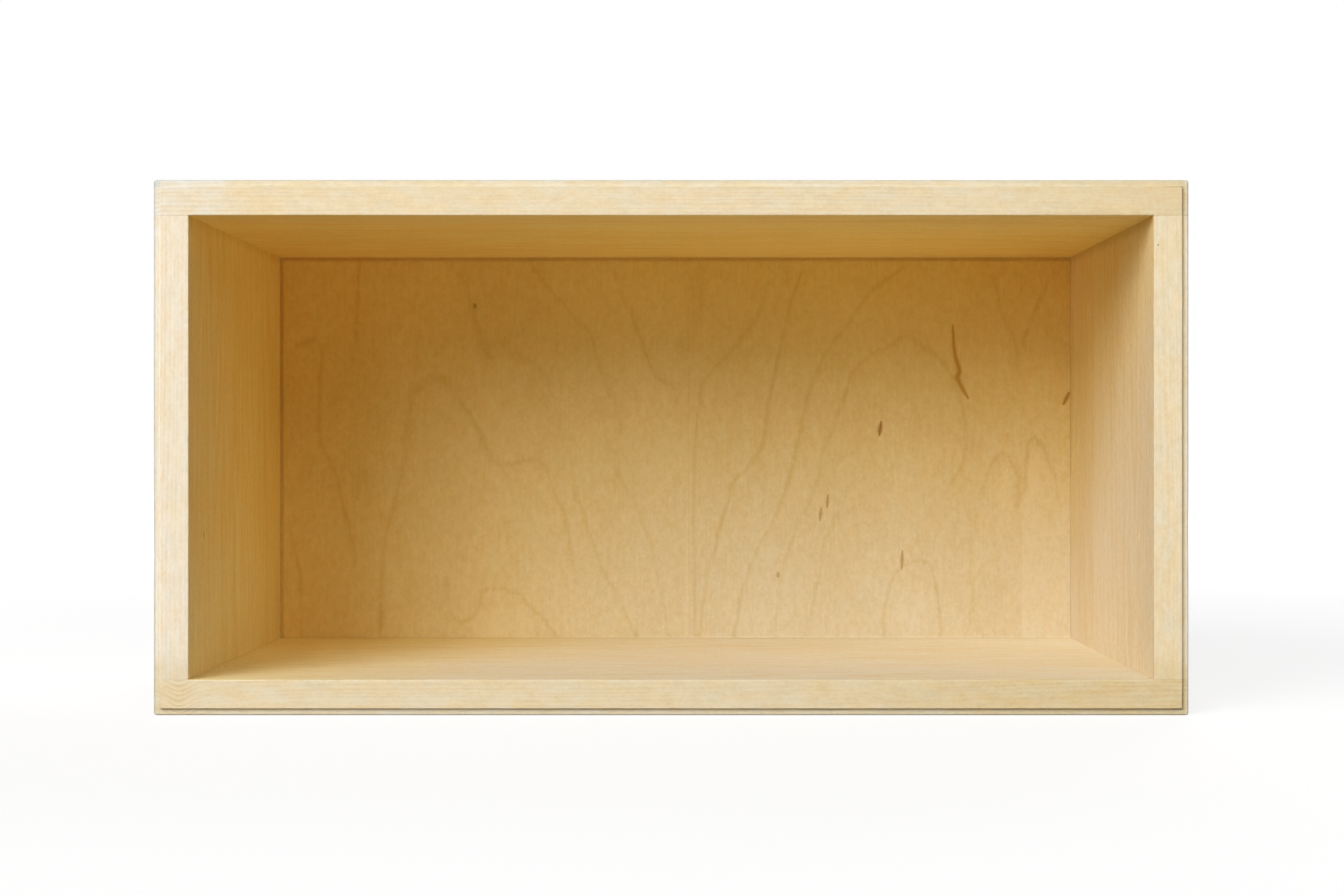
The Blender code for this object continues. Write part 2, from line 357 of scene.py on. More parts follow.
    def end(self, shader: bpy.types.Node) -> Material | bpy.types.World:
        """Ends the tree with a shader and returns its owner."""
        kind = "OutputWorld" if isinstance(self.owner, bpy.types.World) else "OutputMaterial"
        self.node(kind, {"Surface": shader.outputs[0]})
        return self.owner


@dataclass(frozen=True)
class Mark:
    """A short streak in the wood, long along Z before it leans."""

    centre: Triple
    length: float
    width: float
    lean: float = 0.0
    core: float = 0.45


@dataclass(frozen=True)
class Streak:
    """A line of pitch in the veneer: its stain and its places with widths, in millimetres."""

    stain: Colour
    places: tuple[Triple, ...]
    y: float = 0.134


@dataclass(frozen=True)
class Dip:
    """A place where the growth rings sag round an old branch."""

    along: float
    reach: float
    fall: float
    show: float = 0.0


@dataclass(frozen=True)
class Band:
    """Painted light or shade on a strip of a board: a tint that sets in from start to end of an axis and in
    depth.
    """

    axis: Axis
    start: float
    end: float
    tint: Colour
    depth: Pair = FRONT

    def lay(self, bench: Bench, place: Socket, colour: Feed) -> Socket:
        """Returns a colour with the strip's painted light or shade, by the coordinates of the surface."""
        places = bench.parts(place)
        share = bench.smooth(places[self.axis.value], self.start, self.end)
        return bench.tint(colour, self.tint, share * bench.smooth(places[Axis.Y.value], *self.depth))


@dataclass(frozen=True)
class Daylight:
    """Painted light from the upper left: a tint that pales the wood where the key light reaches past the top
    and the side, and leaves it deep in their shade.
    """

    tint: Colour = (0.86, 0.93, 1.60)
    top: Triple = (0.345, -0.150, 0.65)
    side: Triple = (-0.3325, -0.150, 0.45)
    soft_top: Pair = (-0.11, 0.15)
    soft_side: Pair = (-0.22, 0.26)

    def lay(self, bench: Bench, place: Socket, colour: Feed) -> Socket:
        """Returns a colour with the painted light, paler where the key light reaches, by the coordinates of
        the surface.
        """
        # The two planes follow the shadow lines of the top board's and the left side's front edges.
        x, y, z = bench.parts(place)
        height, front, slope = self.top
        under = height - z - (y - front) * slope
        edge, front, slope = self.side
        beside = x - edge - (y - front) * slope
        share = bench.smooth(under, *self.soft_top) * bench.smooth(beside, *self.soft_side)
        return bench.tint(colour, self.tint, share)


@dataclass(frozen=True)
class Plank:
    """How one board was sawn from its log, which way it faces the inside of the box, and the light and shade
    painted on it.
    """

    name: str
    grain: Grain
    inward: Triple
    seed: float
    heart: float
    drift: float
    # Painted light and shade: tints of the inner faces, front edges and arrises, and strips of them.
    face_light_tint: Colour = WHITE
    edge_light_tint: Colour = WHITE
    mouth_tint: Colour = WHITE
    brim_tint: Colour = WHITE
    bands: tuple[Band, ...] = ()
    face_bands: tuple[Band, ...] = ()
    daylight: Daylight = Daylight()
    dips: tuple[Dip, ...] = ()
    dark_marks: tuple[Mark, ...] = ()
    pale_marks: tuple[Mark, ...] = ()


@dataclass(frozen=True)
class BirchBoardFinish:
    """Edge-glued solid birch under satin lacquer."""

    # Deep, saturated colours of the inner faces, which also stand for the shade inside the box; the painted
    # light pales them where the key light reaches.
    pale: Colour = (0.945, 0.77, 0.365)
    deep: Colour = (0.86, 0.63, 0.215)
    edge_pale: Colour = (0.96, 0.84, 0.625)
    edge_deep: Colour = (0.85, 0.69, 0.435)
    mark: Colour = (0.36, 0.20, 0.08)
    mark_share: float = 0.55
    pale_share: float = 0.8
    stave: float = 0.058
    heart_stray: float = 0.05
    sway_reach: float = 0.011
    ring: float = 0.0031
    ring_spread: float = 2.2
    ring_stray: float = 7.0
    late_wood: Pair = (0.20, 0.80)
    line_floor: float = 0.12
    line_gain: float = 0.34
    blush: Colour = (1.02, 0.955, 0.84)
    # Painted light and shade in thin lines along the step's rims: a grey line down the left, tinted lines at
    # the right, top and bottom.
    rim_light_bands: tuple[Band, ...] = (
        Band(Axis.X, -0.3522, -0.3528, (0.92, 0.97, 1.05)),
        Band(Axis.X, -0.3558, -0.3565, (0.70, 0.72, 0.76)),
        Band(Axis.X, 0.3538, 0.3550, (1.05, 1.12, 1.25)),
        Band(Axis.Z, 0.3640, 0.3646, (0.92, 0.97, 1.05)),
        Band(Axis.Z, 0.0044, 0.0036, (0.97, 1.03, 1.13)),
    )
    end_shade: Colour = (0.82, 0.74, 0.64)
    end_ring: Colour = (0.80, 0.72, 0.62)
    edge_lines: float = 0.85
    inner_depth: Pair = (0.1402, 0.1392)
    inner_facing: Pair = (0.5, 0.9)
    front_facing: Pair = (0.3, 0.7)
    arris_facing: Pair = (0.75, 0.95)
    end_facing: Pair = (0.75, 0.97)

    def dress(self, plank: Plank) -> Material:
        """Makes the finish of one board.

        Args:
            plank: The board's sawing and marks.

        Returns:
            The new material.
        """
        bench = Bench.material(plank.name)
        here = bench.places()
        x, depth, z = bench.parts(here)
        along, lift = (x, z) if plank.grain is Grain.LEVEL else (z, x)
        lie = bench.vector(along, depth, lift)

        def grain(length: float, across: float, detail: float, shift: float) -> Value:
            """Returns noise in the fibres' direction, with its cells per metre along and across them."""
            return bench.noise(lie, (length, across, across), detail, plank.seed + shift)

        stave = bench.maths("FLOOR", (depth + plank.seed * self.stave) / self.stave)
        luck_heart, luck_phase, luck_tone = bench.chance(stave + 10 * plank.seed)
        off_middle = depth + plank.seed * self.stave - (stave + luck_phase) * self.stave
        rise = lift - plank.heart - along * plank.drift - (luck_heart - 0.5) * self.heart_stray
        rise = rise + grain(3.2, 24.0, 2.0, 0) * self.sway_reach
        swell: Value | float = self.line_floor
        for dip in plank.dips:
            offset = (along - dip.along) / dip.reach
            sag = 1 / (1 + offset * offset)
            rise = rise + sag * dip.fall
            swell = swell + sag * sag * dip.show
        radius = bench.maths("SQRT", off_middle * off_middle + rise * rise)
        spread = bench.noise(bench.vector(radius, 0.0, 0.0), (95.0, 1.0, 1.0), 1.0, plank.seed)
        rings = radius / self.ring + spread * self.ring_spread + luck_phase * self.ring_stray
        year = bench.maths("FRACT", rings)
        late = bench.smooth(year, *self.late_wood) * bench.smooth(year, 1.0, self.late_wood[1])

        fibre = grain(22.0, 420.0, 3.0, 3)
        mottle = grain(110.0, 260.0, 2.0, 4)
        pore = bench.smooth(grain(70.0, 2400.0, 1.0, 5), *PORE)
        fleck = grain(330.0, 560.0, 1.0, 6)
        cloud = grain(3.0, 14.0, 2.0, 7)
        presence = bench.smooth(grain(5.0, 30.0, 1.0, 9), -0.22, 0.20)
        warmth = grain(40.0, 130.0, 2.0, 11)
        lines = late * (presence * self.line_gain + swell)
        fine = fibre * 0.9 + fleck * 0.8 + pore * 0.12
        broad = mottle * 0.9 + cloud * 0.6 + (luck_tone - 0.5) * 0.24 + 0.30

        tone = lines + fine * 1.9 + broad
        # Inner faces: deep colours that also paint the shade inside the box, then painted light where the key
        # light reaches and painted light and shade in strips.
        face = bench.blend(tinted(self.pale, plank.face_light_tint), tinted(self.deep, plank.face_light_tint), tone)
        for tint in (plank.daylight, *plank.face_bands):
            face = tint.lay(bench, here, face)
        face = bench.tint(face, self.blush, warmth * 1.6 + 0.5)

        tone = lines * self.edge_lines + fibre * 0.45 + fleck * 0.9 + pore * 0.06 + mottle * 0.3 + broad
        edge = bench.blend(self.edge_pale, self.edge_deep, tone)
        edge = bench.tint(edge, self.blush, warmth * 2.8 + 0.5)
        # Painted light and shade on each board's front edges, lighter or darker by how the key light falls on
        # them.
        edge = bench.tint(edge, plank.edge_light_tint, bench.facing(FORWARD, *self.front_facing))
        # Painted light and shade in strips along the edges, and in lines along the step's rims.
        for band in plank.bands + self.rim_light_bands:
            edge = band.lay(bench, here, edge)

        inside = bench.facing(plank.inward, *self.inner_facing) * bench.smooth(depth, *self.inner_depth)
        colour = bench.blend(edge, face, inside)
        # Painted shade that dulls the arrises of the mouth and the outer rim where they turn towards the key
        # light.
        inward = Vector(plank.inward)
        for way, tint in ((inward, plank.mouth_tint), (-inward, plank.brim_tint)):
            slant = (way - Axis.Y.way).normalized()
            colour = bench.tint(colour, tint, bench.facing(slant, *self.arris_facing))
        for mark in plank.dark_marks:
            colour = bench.blend(colour, self.mark, bench.spot(here, mark) * self.mark_share)
        for mark in plank.pale_marks:
            colour = bench.blend(colour, self.pale, bench.spot(here, mark) * self.pale_share)

        way = plank.grain.value.way
        end = bench.facing(way, *self.end_facing) + bench.facing(-way, *self.end_facing)
        colour = bench.tint(colour, self.end_shade, end)
        colour = bench.tint(colour, self.end_ring, end * late)
        return bench.surface({
            "Base Color": colour,
            "Roughness": 0.52 + fibre * 0.12 + end * 0.15,
            "Normal": bench.bump(fibre * 0.6 + late * 0.25 - pore * 0.5, 0.22, 0.0002),
            "Specular IOR Level": 0.28,
            "Coat Weight": 0.08,
            "Coat Roughness": 0.38,
        })


@dataclass(frozen=True)
class RingLine:
    """A line of the veneer's figure: its growth ring, its strength, and its places in millimetres."""

    ring: float
    strength: float
    places: tuple[tuple[int, int], ...]


@dataclass(frozen=True)
class Leaf:
    """A sheet of veneer between two seams, with the lines of its figure."""

    start: float
    stop: float
    lines: tuple[RingLine, ...]


LEAVES = (
    Leaf(-0.3385, -0.244, (
        RingLine(1, 1.0, ((-266, 341), (-267, 320), (-269, 296), (-268, 275))),
        RingLine(1, 0.75, ((-245, 104), (-247, 80), (-248, 55), (-248, 33))),
        RingLine(2, 0.8, ((-299, 271), (-299, 236), (-298, 191))),
        RingLine(2, 1.0, ((-298, 191), (-291, 173), (-284, 156), (-278, 131), (-273, 110), (-269, 89))),
        RingLine(3, 0.8, ((-324, 113), (-319, 96), (-315, 77), (-315, 54), (-314, 28))),
    )),
    Leaf(-0.244, 0.291, (
        RingLine(0, 0.5, ((21, 334), (18, 303), (11, 266))),
        RingLine(0.5, 0.0, ((11, 240), (11, 205), (11, 150), (11, 80))),
        RingLine(4.6, 0.0, ((277, 168), (276, 148))),
        RingLine(3.6, 0.0, ((277, 193), (255, 165), (294, 165))),
        RingLine(5.4, 0.0, ((-142, 45), (-200, 60), (-181, 27))),
        RingLine(4.55, 0.0, ((-142, 82), (-181, 60))),
        RingLine(1, 0.8, ((-50, 334), (-45, 317), (-36, 296), (-29, 275), (-22, 255), (-15, 244),
            (-3, 237), (1, 226))),
        RingLine(1, 0.0, ((-3, 200), (-1, 150), (2, 80))),
        RingLine(1, 0.7, ((78, 322), (69, 296), (57, 280), (44, 263), (32, 252), (24, 240), (20, 222))),
        RingLine(2, 0.7, ((-119, 336), (-107, 320), (-95, 306), (-80, 289), (-73, 283), (-69, 269),
            (-62, 247))),
        RingLine(2, 0.5, ((-62, 247), (-50, 219), (-46, 201), (-49, 187), (-50, 170), (-40, 150),
            (-29, 127), (-21, 103), (-14, 75), (-9, 50), (-6, 29))),
        RingLine(2, 0.9, ((105, 329), (97, 308), (91, 282), (86, 257), (81, 233), (77, 212), (73, 187),
            (62, 170), (49, 156), (41, 131), (34, 106), (26, 78), (23, 54), (21, 29))),
        RingLine(3, 0.9, ((-192, 341), (-179, 326), (-172, 308), (-166, 289), (-163, 275),
            (-158, 260))),
        RingLine(3, 0.6, ((-145, 276), (-137, 266), (-128, 259), (-118, 256), (-111, 248),
            (-105, 233))),
        RingLine(3, 0.2, ((-105, 233), (-98, 212), (-93, 191), (-84, 145))),
        RingLine(3, 0.8, ((-84, 145), (-73, 113), (-61, 82), (-50, 64), (-41, 43), (-34, 28))),
        RingLine(3, 0.9, ((191, 336), (160, 310), (142, 285), (125, 261), (115, 241), (109, 219),
            (104, 194), (98, 166), (90, 142), (83, 124), (69, 99), (60, 75), (54, 50), (49, 29))),
        RingLine(3, 0.7, ((268, 327), (273, 306), (280, 287), (288, 267))),
        RingLine(4, 0.75, ((-248, 33), (-247, 61), (-245, 106), (-236, 142), (-229, 173), (-225, 194),
            (-222, 213), (-218, 233))),
        RingLine(4, 1.0, ((-218, 233), (-208, 238), (-196, 246), (-189, 236), (-177, 220), (-163, 196),
            (-153, 175), (-147, 171), (-129, 174), (-112, 171))),
        RingLine(4, 0.6, ((-112, 171), (-103, 150), (-94, 131), (-88, 103), (-84, 78))),
        RingLine(4, 0.6, ((84, 29), (88, 71), (95, 99), (104, 124), (116, 145), (123, 177), (132, 201),
            (142, 227))),
        RingLine(4, 0.8, ((142, 227), (151, 249), (162, 262), (177, 269), (191, 278), (204, 273),
            (218, 264), (230, 249), (239, 227), (244, 198), (241, 170), (234, 159))),
        RingLine(4, 0.4, ((234, 159), (241, 138), (246, 117), (249, 82), (246, 29))),
        RingLine(4, 0.7, ((258, 150), (262, 161), (269, 175), (277, 182), (283, 173), (288, 152),
            (289, 140))),
        RingLine(5, 0.8, ((-192, 71), (-190, 50), (-181, 39), (-171, 43), (-163, 63), (-152, 67),
            (-133, 63), (-121, 50), (-102, 30))),
        RingLine(5, 0.6, ((112, 29), (118, 68), (124, 96), (131, 119), (141, 129), (157, 137))),
        RingLine(6, 0.9, ((175, 29), (178, 59), (187, 81), (202, 90), (213, 87), (219, 71), (224, 29))),
    )),
    Leaf(0.291, 0.3385, (
        RingLine(4.6, 0.0, ((300, 150), (302, 180), (309, 160))),
        RingLine(3.55, 0.0, ((302, 207), (287, 170), (320, 182), (329, 155))),
        RingLine(2.6, 0.0, ((296, 318), (288, 300))),
        RingLine(3.4, 0.0, ((320, 305), (306, 275))),
        RingLine(3, 0.7, ((311, 320), (305, 306), (300, 292), (292, 269))),
        RingLine(4, 0.9, ((294, 152), (295, 166), (296, 180), (302, 195), (307, 187), (313, 175),
            (318, 163), (321, 149))),
    )),
)


class RingField:
    """Depth in growth rings over the sheet, bent like a thin plate through the figure's lines."""

    stiffness: float = 2e-5
    unit: float = 100.0
    step: float = 0.5
    close: float = 6.0
    far: float = 60.0
    fade: float = 9.0
    soft: float = 6.0

    def __init__(self, lines: Sequence[RingLine]) -> None:
        """Finds the plate that passes the lines."""
        self.lines = lines
        self.knots = np.array([place for line in lines for place in line.places], float)
        rings = np.array([line.ring for line in lines for _ in line.places], float)
        count = len(self.knots)
        flat = np.column_stack((np.ones(count), self.knots / self.unit))
        system = np.zeros((count + 3, count + 3))
        system[:count, :count] = self._pull(self.knots) + self.stiffness * np.eye(count)
        system[:count, count:] = flat
        system[count:, :count] = flat.T
        self.weights = np.linalg.solve(system, np.concatenate((rings, np.zeros(3))))

    def _pull(self, places: np.ndarray) -> np.ndarray:
        """Returns the pull of each knot on each place."""
        apart = np.linalg.norm(places[:, None, :] - self.knots[None, :, :], axis=2) / self.unit
        return apart**2 * np.log(apart + 1e-9)

    def depth(self, places: np.ndarray) -> np.ndarray:
        """Returns the ring number at places given in millimetres."""
        flat = np.column_stack((np.ones(len(places)), places / self.unit))
        return np.hstack((self._pull(places), flat)) @ self.weights

    def spacing(self, places: np.ndarray) -> np.ndarray:
        """Returns the distance from ring to ring at each place, in metres."""
        across = np.array((self.step, 0.0))
        up = np.array((0.0, self.step))
        slope_x = (self.depth(places + across) - self.depth(places - across)) / (2 * self.step)
        slope_z = (self.depth(places + up) - self.depth(places - up)) / (2 * self.step)
        return np.clip(1 / (np.hypot(slope_x, slope_z) + NEAR), self.close, self.far) / MM

    def presence(self, places: np.ndarray) -> np.ndarray:
        """Returns how strongly the lines show at each place, which fades away from them."""
        shown = np.zeros(len(places))
        for line in self.lines:
            points = np.array(line.places, float)
            for start, stop in zip(points, points[1:]):
                run = stop - start
                share = np.clip((places - start) @ run / (run @ run), 0.0, 1.0)
                apart = np.linalg.norm(places - start - share[:, None] * run, axis=1)
                shown = np.maximum(shown, line.strength * np.clip((self.fade - apart) / self.soft, 0.0, 1.0))
        return shown


@dataclass(frozen=True)
class BirchVeneerFinish:
    """Rotary-cut birch leaves, turned over in pairs like the pages of a book, with pitch streaks."""

    # Deep, saturated colours that also stand for the shade on the back; the painted light below pales them
    # where the key light reaches.
    pale: Colour = (0.93, 0.71, 0.192)
    deep: Colour = (0.775, 0.525, 0.10)
    rear_pale: Colour = (0.86, 0.71, 0.49)
    rear_deep: Colour = (0.73, 0.56, 0.34)
    # Painted light: paler and less saturated where the key light reaches the back, deep in the shade of the
    # top and the left side.
    daylight: Daylight = Daylight(
        (0.74, 0.86, 2.34), top=(0.345, -0.150, 0.50), soft_top=(-0.17, 0.20), soft_side=(-0.24, 0.28)
    )
    blush: Colour = (1.02, 0.955, 0.86)
    sway_reach: float = 0.09
    feather_reach: float = 0.007
    line_half: float = 0.0033
    mark_paling: float = 0.18
    seams: tuple[float, ...] = (-0.244, 0.011, 0.291)
    seam_half: Pair = (0.0007, 0.0001)
    seam_tone: float = 0.16
    leaf_tones: tuple[float, ...] = (0.0, -0.04, -0.02, -0.05)
    pale_foot: Triple = (0.19, 0.10, 0.20)
    # Painted highlight along the back's lower edge, where the key light catches it, fading out towards the
    # shaded left.
    filler: Colour = (1.07, 1.11, 1.14)
    filler_line: Pair = (0.0274, 0.0262)
    filler_reach: Pair = (-0.20, 0.05)
    front_facing: Pair = (0.3, 0.7)
    pale_marks: tuple[Mark, ...] = (
        Mark((0.302, 0.134, 0.165), 0.060, 0.013, 0.0, 0.4),
        Mark((0.277, 0.134, 0.150), 0.060, 0.013, 0.0, 0.4),
        Mark((0.0575, 0.134, 0.157), 0.030, 0.007, -8.0, 0.4),
        Mark((0.199, 0.134, 0.045), 0.075, 0.038, 0.0, 0.4),
        Mark((-0.142, 0.134, 0.034), 0.052, 0.080, 0.0, 0.3),
    )
    streaks: tuple[Streak, ...] = (
        Streak((0.66, 0.47, 0.10), (
            (233.3, 288.0, 1.4), (234.1, 271.5, 2.6), (235.5, 261.6, 3.0), (238.0, 254.0, 3.4),
            (238.7, 249.0, 3.8), (237.1, 244.1, 4.4), (239.4, 238.5, 3.6), (242.9, 232.2, 3.0),
            (246.1, 226.9, 1.8),
        )),
        Streak((0.45, 0.25, 0.03), (
            (173.0, 206.8, 1.4), (172.4, 202.5, 3.0), (171.9, 199.0, 3.2), (171.5, 195.6, 1.4),
        )),
        Streak((0.56, 0.38, 0.10), ((331.0, 231.2, 1.8), (328.8, 226.6, 3.2), (326.5, 222.0, 1.8))),
        Streak((0.66, 0.54, 0.32), ((128.2, 145.2, 1.0), (127.9, 140.0, 2.4), (127.6, 134.6, 1.0))),
        Streak((0.66, 0.54, 0.32), ((122.6, 134.6, 1.0), (122.0, 129.4, 2.5), (121.4, 123.8, 1.0))),
        Streak((0.66, 0.54, 0.34), ((190.9, 98.6, 1.0), (190.6, 90.5, 2.8), (190.4, 83.0, 1.0))),
        Streak((0.64, 0.58, 0.46), ((86.4, 79.0, 2.6), (86.2, 77.2, 2.6))),
        Streak((0.60, 0.48, 0.12), ((-168.6, 305.2, 2.6), (-168.6, 303.4, 2.6))),
        Streak((0.91, 0.88, 0.80), ((-318.0, 270.0, 4.0), (-311.0, 273.5, 7.0), (-303.5, 276.5, 4.0))),
        Streak((0.90, 0.87, 0.78), ((-248.0, 54.0, 2.0), (-247.0, 41.0, 6.0), (-247.5, 34.0, 4.0))),
        Streak((1.035, 1.04, 1.06), ((9.6, 150.0, 1.0), (9.6, 100.0, 2.4), (9.6, 28.0, 2.8))),
        Streak((0.94, 0.91, 0.85), (
            (18.5, 214.0, 1.2), (16.2, 180.0, 2.2), (15.6, 120.0, 2.6), (16.6, 27.0, 2.6),
        )),
    )

    def dress(self) -> Material:
        """Makes and returns the finish of the back panel."""
        bench = Bench.material("birch_veneer_leaves")
        here = bench.places()
        x, _, z = bench.parts(here)

        def grain(across: float, length: float, detail: float, shift: float) -> Value:
            """Returns noise in the fibres' direction, with its cells per metre across and along them."""
            return bench.noise(here, (across, across, length), detail, shift)

        ring = bench.attribute(RingData.DEPTH) + grain(55.0, 22.0, 2.0, 4.0) * self.sway_reach
        offset = (ring - bench.maths("ROUND", ring)) * bench.attribute(RingData.SPACING)
        offset = offset + grain(260.0, 45.0, 3.0, 6.0) * self.feather_reach
        line = bench.smooth(abs(offset), self.line_half, 0.0)
        broken = bench.smooth(grain(34.0, 18.0, 1.0, 8.0), -0.26, 0.18)

        fibre = grain(520.0, 30.0, 3.0, 2.0)
        mottle = grain(220.0, 160.0, 2.0, 3.0)
        pore = bench.smooth(grain(2300.0, 80.0, 1.0, 5.0), *PORE)
        fleck = grain(460.0, 400.0, 1.0, 7.0)
        cloud = grain(14.0, 5.0, 2.0, 11.0)
        warmth = grain(130.0, 60.0, 2.0, 13.0)
        tone = line * bench.attribute(RingData.PRESENCE) * (0.20 + broken * 0.30)
        tone = tone + fibre * 0.42 + mottle * 0.75 + fleck * 0.6 + pore * 0.10 + cloud * 0.55
        tone = tone + 0.40 + self.leaf_tones[0]
        for seam, before, after in zip(self.seams, self.leaf_tones, self.leaf_tones[1:]):
            past = bench.maths("GREATER_THAN", x, seam)
            joint = bench.smooth(abs(x - seam), *self.seam_half)
            tone = tone + past * (after - before) + joint * self.seam_tone
        start, full, paling = self.pale_foot
        tone = tone - bench.maths("GREATER_THAN", x, self.seams[-1]) * bench.smooth(z, start, full) * paling
        for mark in self.pale_marks:
            tone = tone - bench.spot(here, mark) * self.mark_paling

        colour = bench.blend(self.pale, self.deep, tone)
        colour = bench.tint(colour, self.blush, warmth * 1.6 + 0.5)
        # Painted light where the key light reaches the back; the rest keeps the deep, shaded colour.
        colour = self.daylight.lay(bench, here, colour)
        # Painted highlight along the lower edge of the back, fading out towards the shaded left.
        filler = bench.smooth(z, *self.filler_line) * bench.smooth(x, *self.filler_reach)
        colour = bench.tint(colour, self.filler, filler)
        rear = bench.blend(self.rear_pale, self.rear_deep, tone)
        colour = bench.blend(rear, colour, bench.facing(FORWARD, *self.front_facing))
        for streak in self.streaks:
            colour = bench.tint(colour, streak.stain, bench.stroke(here, streak))
        return bench.surface({
            "Base Color": colour,
            "Roughness": 0.52 + fibre * 0.10,
            "Normal": bench.bump(fibre * 0.6 - pore * 0.5, 0.18, 0.0002),
            "Specular IOR Level": 0.35,
            "Coat Weight": 0.10,
            "Coat Roughness": 0.40,
        })


@dataclass(frozen=True)
class BeechFinish:
    """Raw turned beech with its short reddish flecks."""

    pale: Colour = (0.66, 0.45, 0.27)
    fleck: Colour = (0.45, 0.25, 0.12)

    def dress(self) -> Material:
        """Makes and returns the finish of the dowels."""
        bench = Bench.material("raw_beech")
        here = bench.places()
        fleck = bench.smooth(bench.noise(here, (900.0, 900.0, 180.0), 2.0, 1.0), 0.05, 0.20)
        fibre = bench.noise(here, (1500.0, 1500.0, 40.0), 2.0, 3.0)
        return bench.surface({
            "Base Color": bench.blend(self.pale, self.fleck, fleck * 0.7 + fibre * 0.4 + 0.1),
            "Roughness": 0.68 + fibre * 0.15,
            "Normal": bench.bump(fibre, 0.3, 0.0001),
        })


@dataclass(frozen=True)
class ZincFinish:
    """Pressed steel with bright zinc plate, dulled in cloudy patches."""

    bright: Colour = (0.60, 0.61, 0.60)
    dull: Colour = (0.43, 0.44, 0.45)

    def dress(self) -> Material:
        """Makes and returns the finish of the plates and screws."""
        bench = Bench.material("zinc_plate")
        here = bench.places()
        cloud = bench.noise(here, (260.0, 260.0, 260.0), 3.0, 1.0)
        rolled = bench.noise(here, (4200.0, 4200.0, 160.0), 2.0, 2.0)
        return bench.surface({
            "Base Color": bench.blend(self.bright, self.dull, cloud * 1.4 + rolled * 0.4 + 0.4),
            "Metallic": 1.0,
            "Roughness": 0.34 + cloud * 0.22 + rolled * 0.10,
            "Normal": bench.bump(rolled, 0.12, 0.00005),
        })


class Shape:
    """A bmesh and the shaping steps that the pieces share."""

    def __init__(self) -> None:
        """Starts empty."""
        self.mesh = bmesh.new()
        self.radius = self.mesh.edges.layers.float.new("bevel_weight_edge")

    def block(self, low: Vector, high: Vector) -> None:
        """Adds a closed block between two corners."""
        place = Matrix.Translation((low + high) / 2) @ Matrix.Diagonal((*(high - low), 1.0))
        bmesh.ops.create_cube(self.mesh, size=1.0, matrix=place)

    def slice(self, axis: Axis, at: float, faces: Iterable[BMFace] | None = None) -> None:
        """Cuts faces, or all of them, along a plane across an axis and takes nothing away."""
        chosen = list(self.mesh.faces if faces is None else faces)
        edges = dict.fromkeys(edge for face in chosen for edge in face.edges)
        verts = dict.fromkeys(vert for face in chosen for vert in face.verts)
        cut = [*chosen, *edges, *verts]
        bmesh.ops.bisect_plane(self.mesh, geom=cut, dist=NEAR, plane_co=axis.way * at, plane_no=axis.way)

    def faces_on(self, axis: Axis, at: float, test: Callable[[Vector], bool] | None = None) -> list[BMFace]:
        """Returns the faces on a plane across an axis, whose middle passes a further test if there is one."""
        flat = [f for f in self.mesh.faces if all(near(v.co[axis.value], at) for v in f.verts)]
        return [f for f in flat if test is None or test(f.calc_center_median())]

    def drag(self, made: Iterable[BMVert | BMEdge | BMFace], way: Vector) -> list[BMVert]:
        """Moves the new vertices of an extrusion and returns them."""
        verts = [part for part in made if isinstance(part, BMVert)]
        bmesh.ops.translate(self.mesh, verts=verts, vec=way)
        return verts

    def thicken(self, faces: Iterable[BMFace], way: Vector) -> list[BMVert]:
        """Turns a flat sheet into a solid and returns the vertices on its new side."""
        return self.drag(bmesh.ops.extrude_face_region(self.mesh, geom=list(faces))["geom"], way)

    def push(self, faces: Sequence[BMFace], way: Vector) -> None:
        """Moves faces in or out of the surface, with walls along their rim."""
        made = bmesh.ops.extrude_face_region(self.mesh, geom=list(faces))["geom"]
        left = [face for face in faces if face.is_valid]
        bmesh.ops.delete(self.mesh, geom=left, context="FACES")
        self.drag(made, way)

    def sink(self, brim: Sequence[BMEdge], mouth: Sequence[BMEdge], way: Vector) -> list[BMEdge]:
        """Fills the flat between a brim and the mouth of a pocket, and draws the pocket's wall down.

        Args:
            brim: Edges round the flat.
            mouth: Edges round the pocket.
            way: Direction and depth of the wall.

        Returns:
            The edges at the wall's foot.
        """
        bmesh.ops.triangle_fill(self.mesh, use_beauty=True, edges=[*brim, *mouth], normal=Axis.Y.way)
        self.drag(bmesh.ops.extrude_edge_only(self.mesh, edges=mouth)["geom"], way)
        return [edge for edge in self.mesh.edges if edge.is_boundary]

    def recess(self, axis: Axis, at: float, low: Sequence[float], high: Sequence[float], way: Vector) -> None:
        """Sinks a rectangle into the faces on a plane.

        Args:
            axis: The plane's normal.
            at: Its place along that axis.
            low: The rectangle's lower corner, along the two other axes in turn.
            high: Its upper corner.
            way: Direction and depth.
        """
        others = [other for other in Axis if other is not axis]
        for other, *ends in zip(others, low, high):
            for end in ends:
                self.slice(other, end, self.faces_on(axis, at))

        def inside(middle: Vector) -> bool:
            """Whether a face lies in the rectangle."""
            return all(a < middle[o.value] < b for o, a, b in zip(others, low, high))

        self.push(self.faces_on(axis, at, inside), way)

    def ease(self, radius: float, test: Callable[[Vector], bool]) -> None:
        """Marks the edges whose two ends pass a test to be rounded."""
        for edge in self.mesh.edges:
            if all(test(vert.co) for vert in edge.verts):
                edge[self.radius] = radius

    def close(self) -> None:
        """Merges doubles and turns the faces outwards."""
        bmesh.ops.remove_doubles(self.mesh, verts=self.mesh.verts, dist=NEAR)
        bmesh.ops.recalc_face_normals(self.mesh, faces=self.mesh.faces)
        if self.mesh.calc_volume(signed=True) < 0:
            bmesh.ops.reverse_faces(self.mesh, faces=self.mesh.faces)


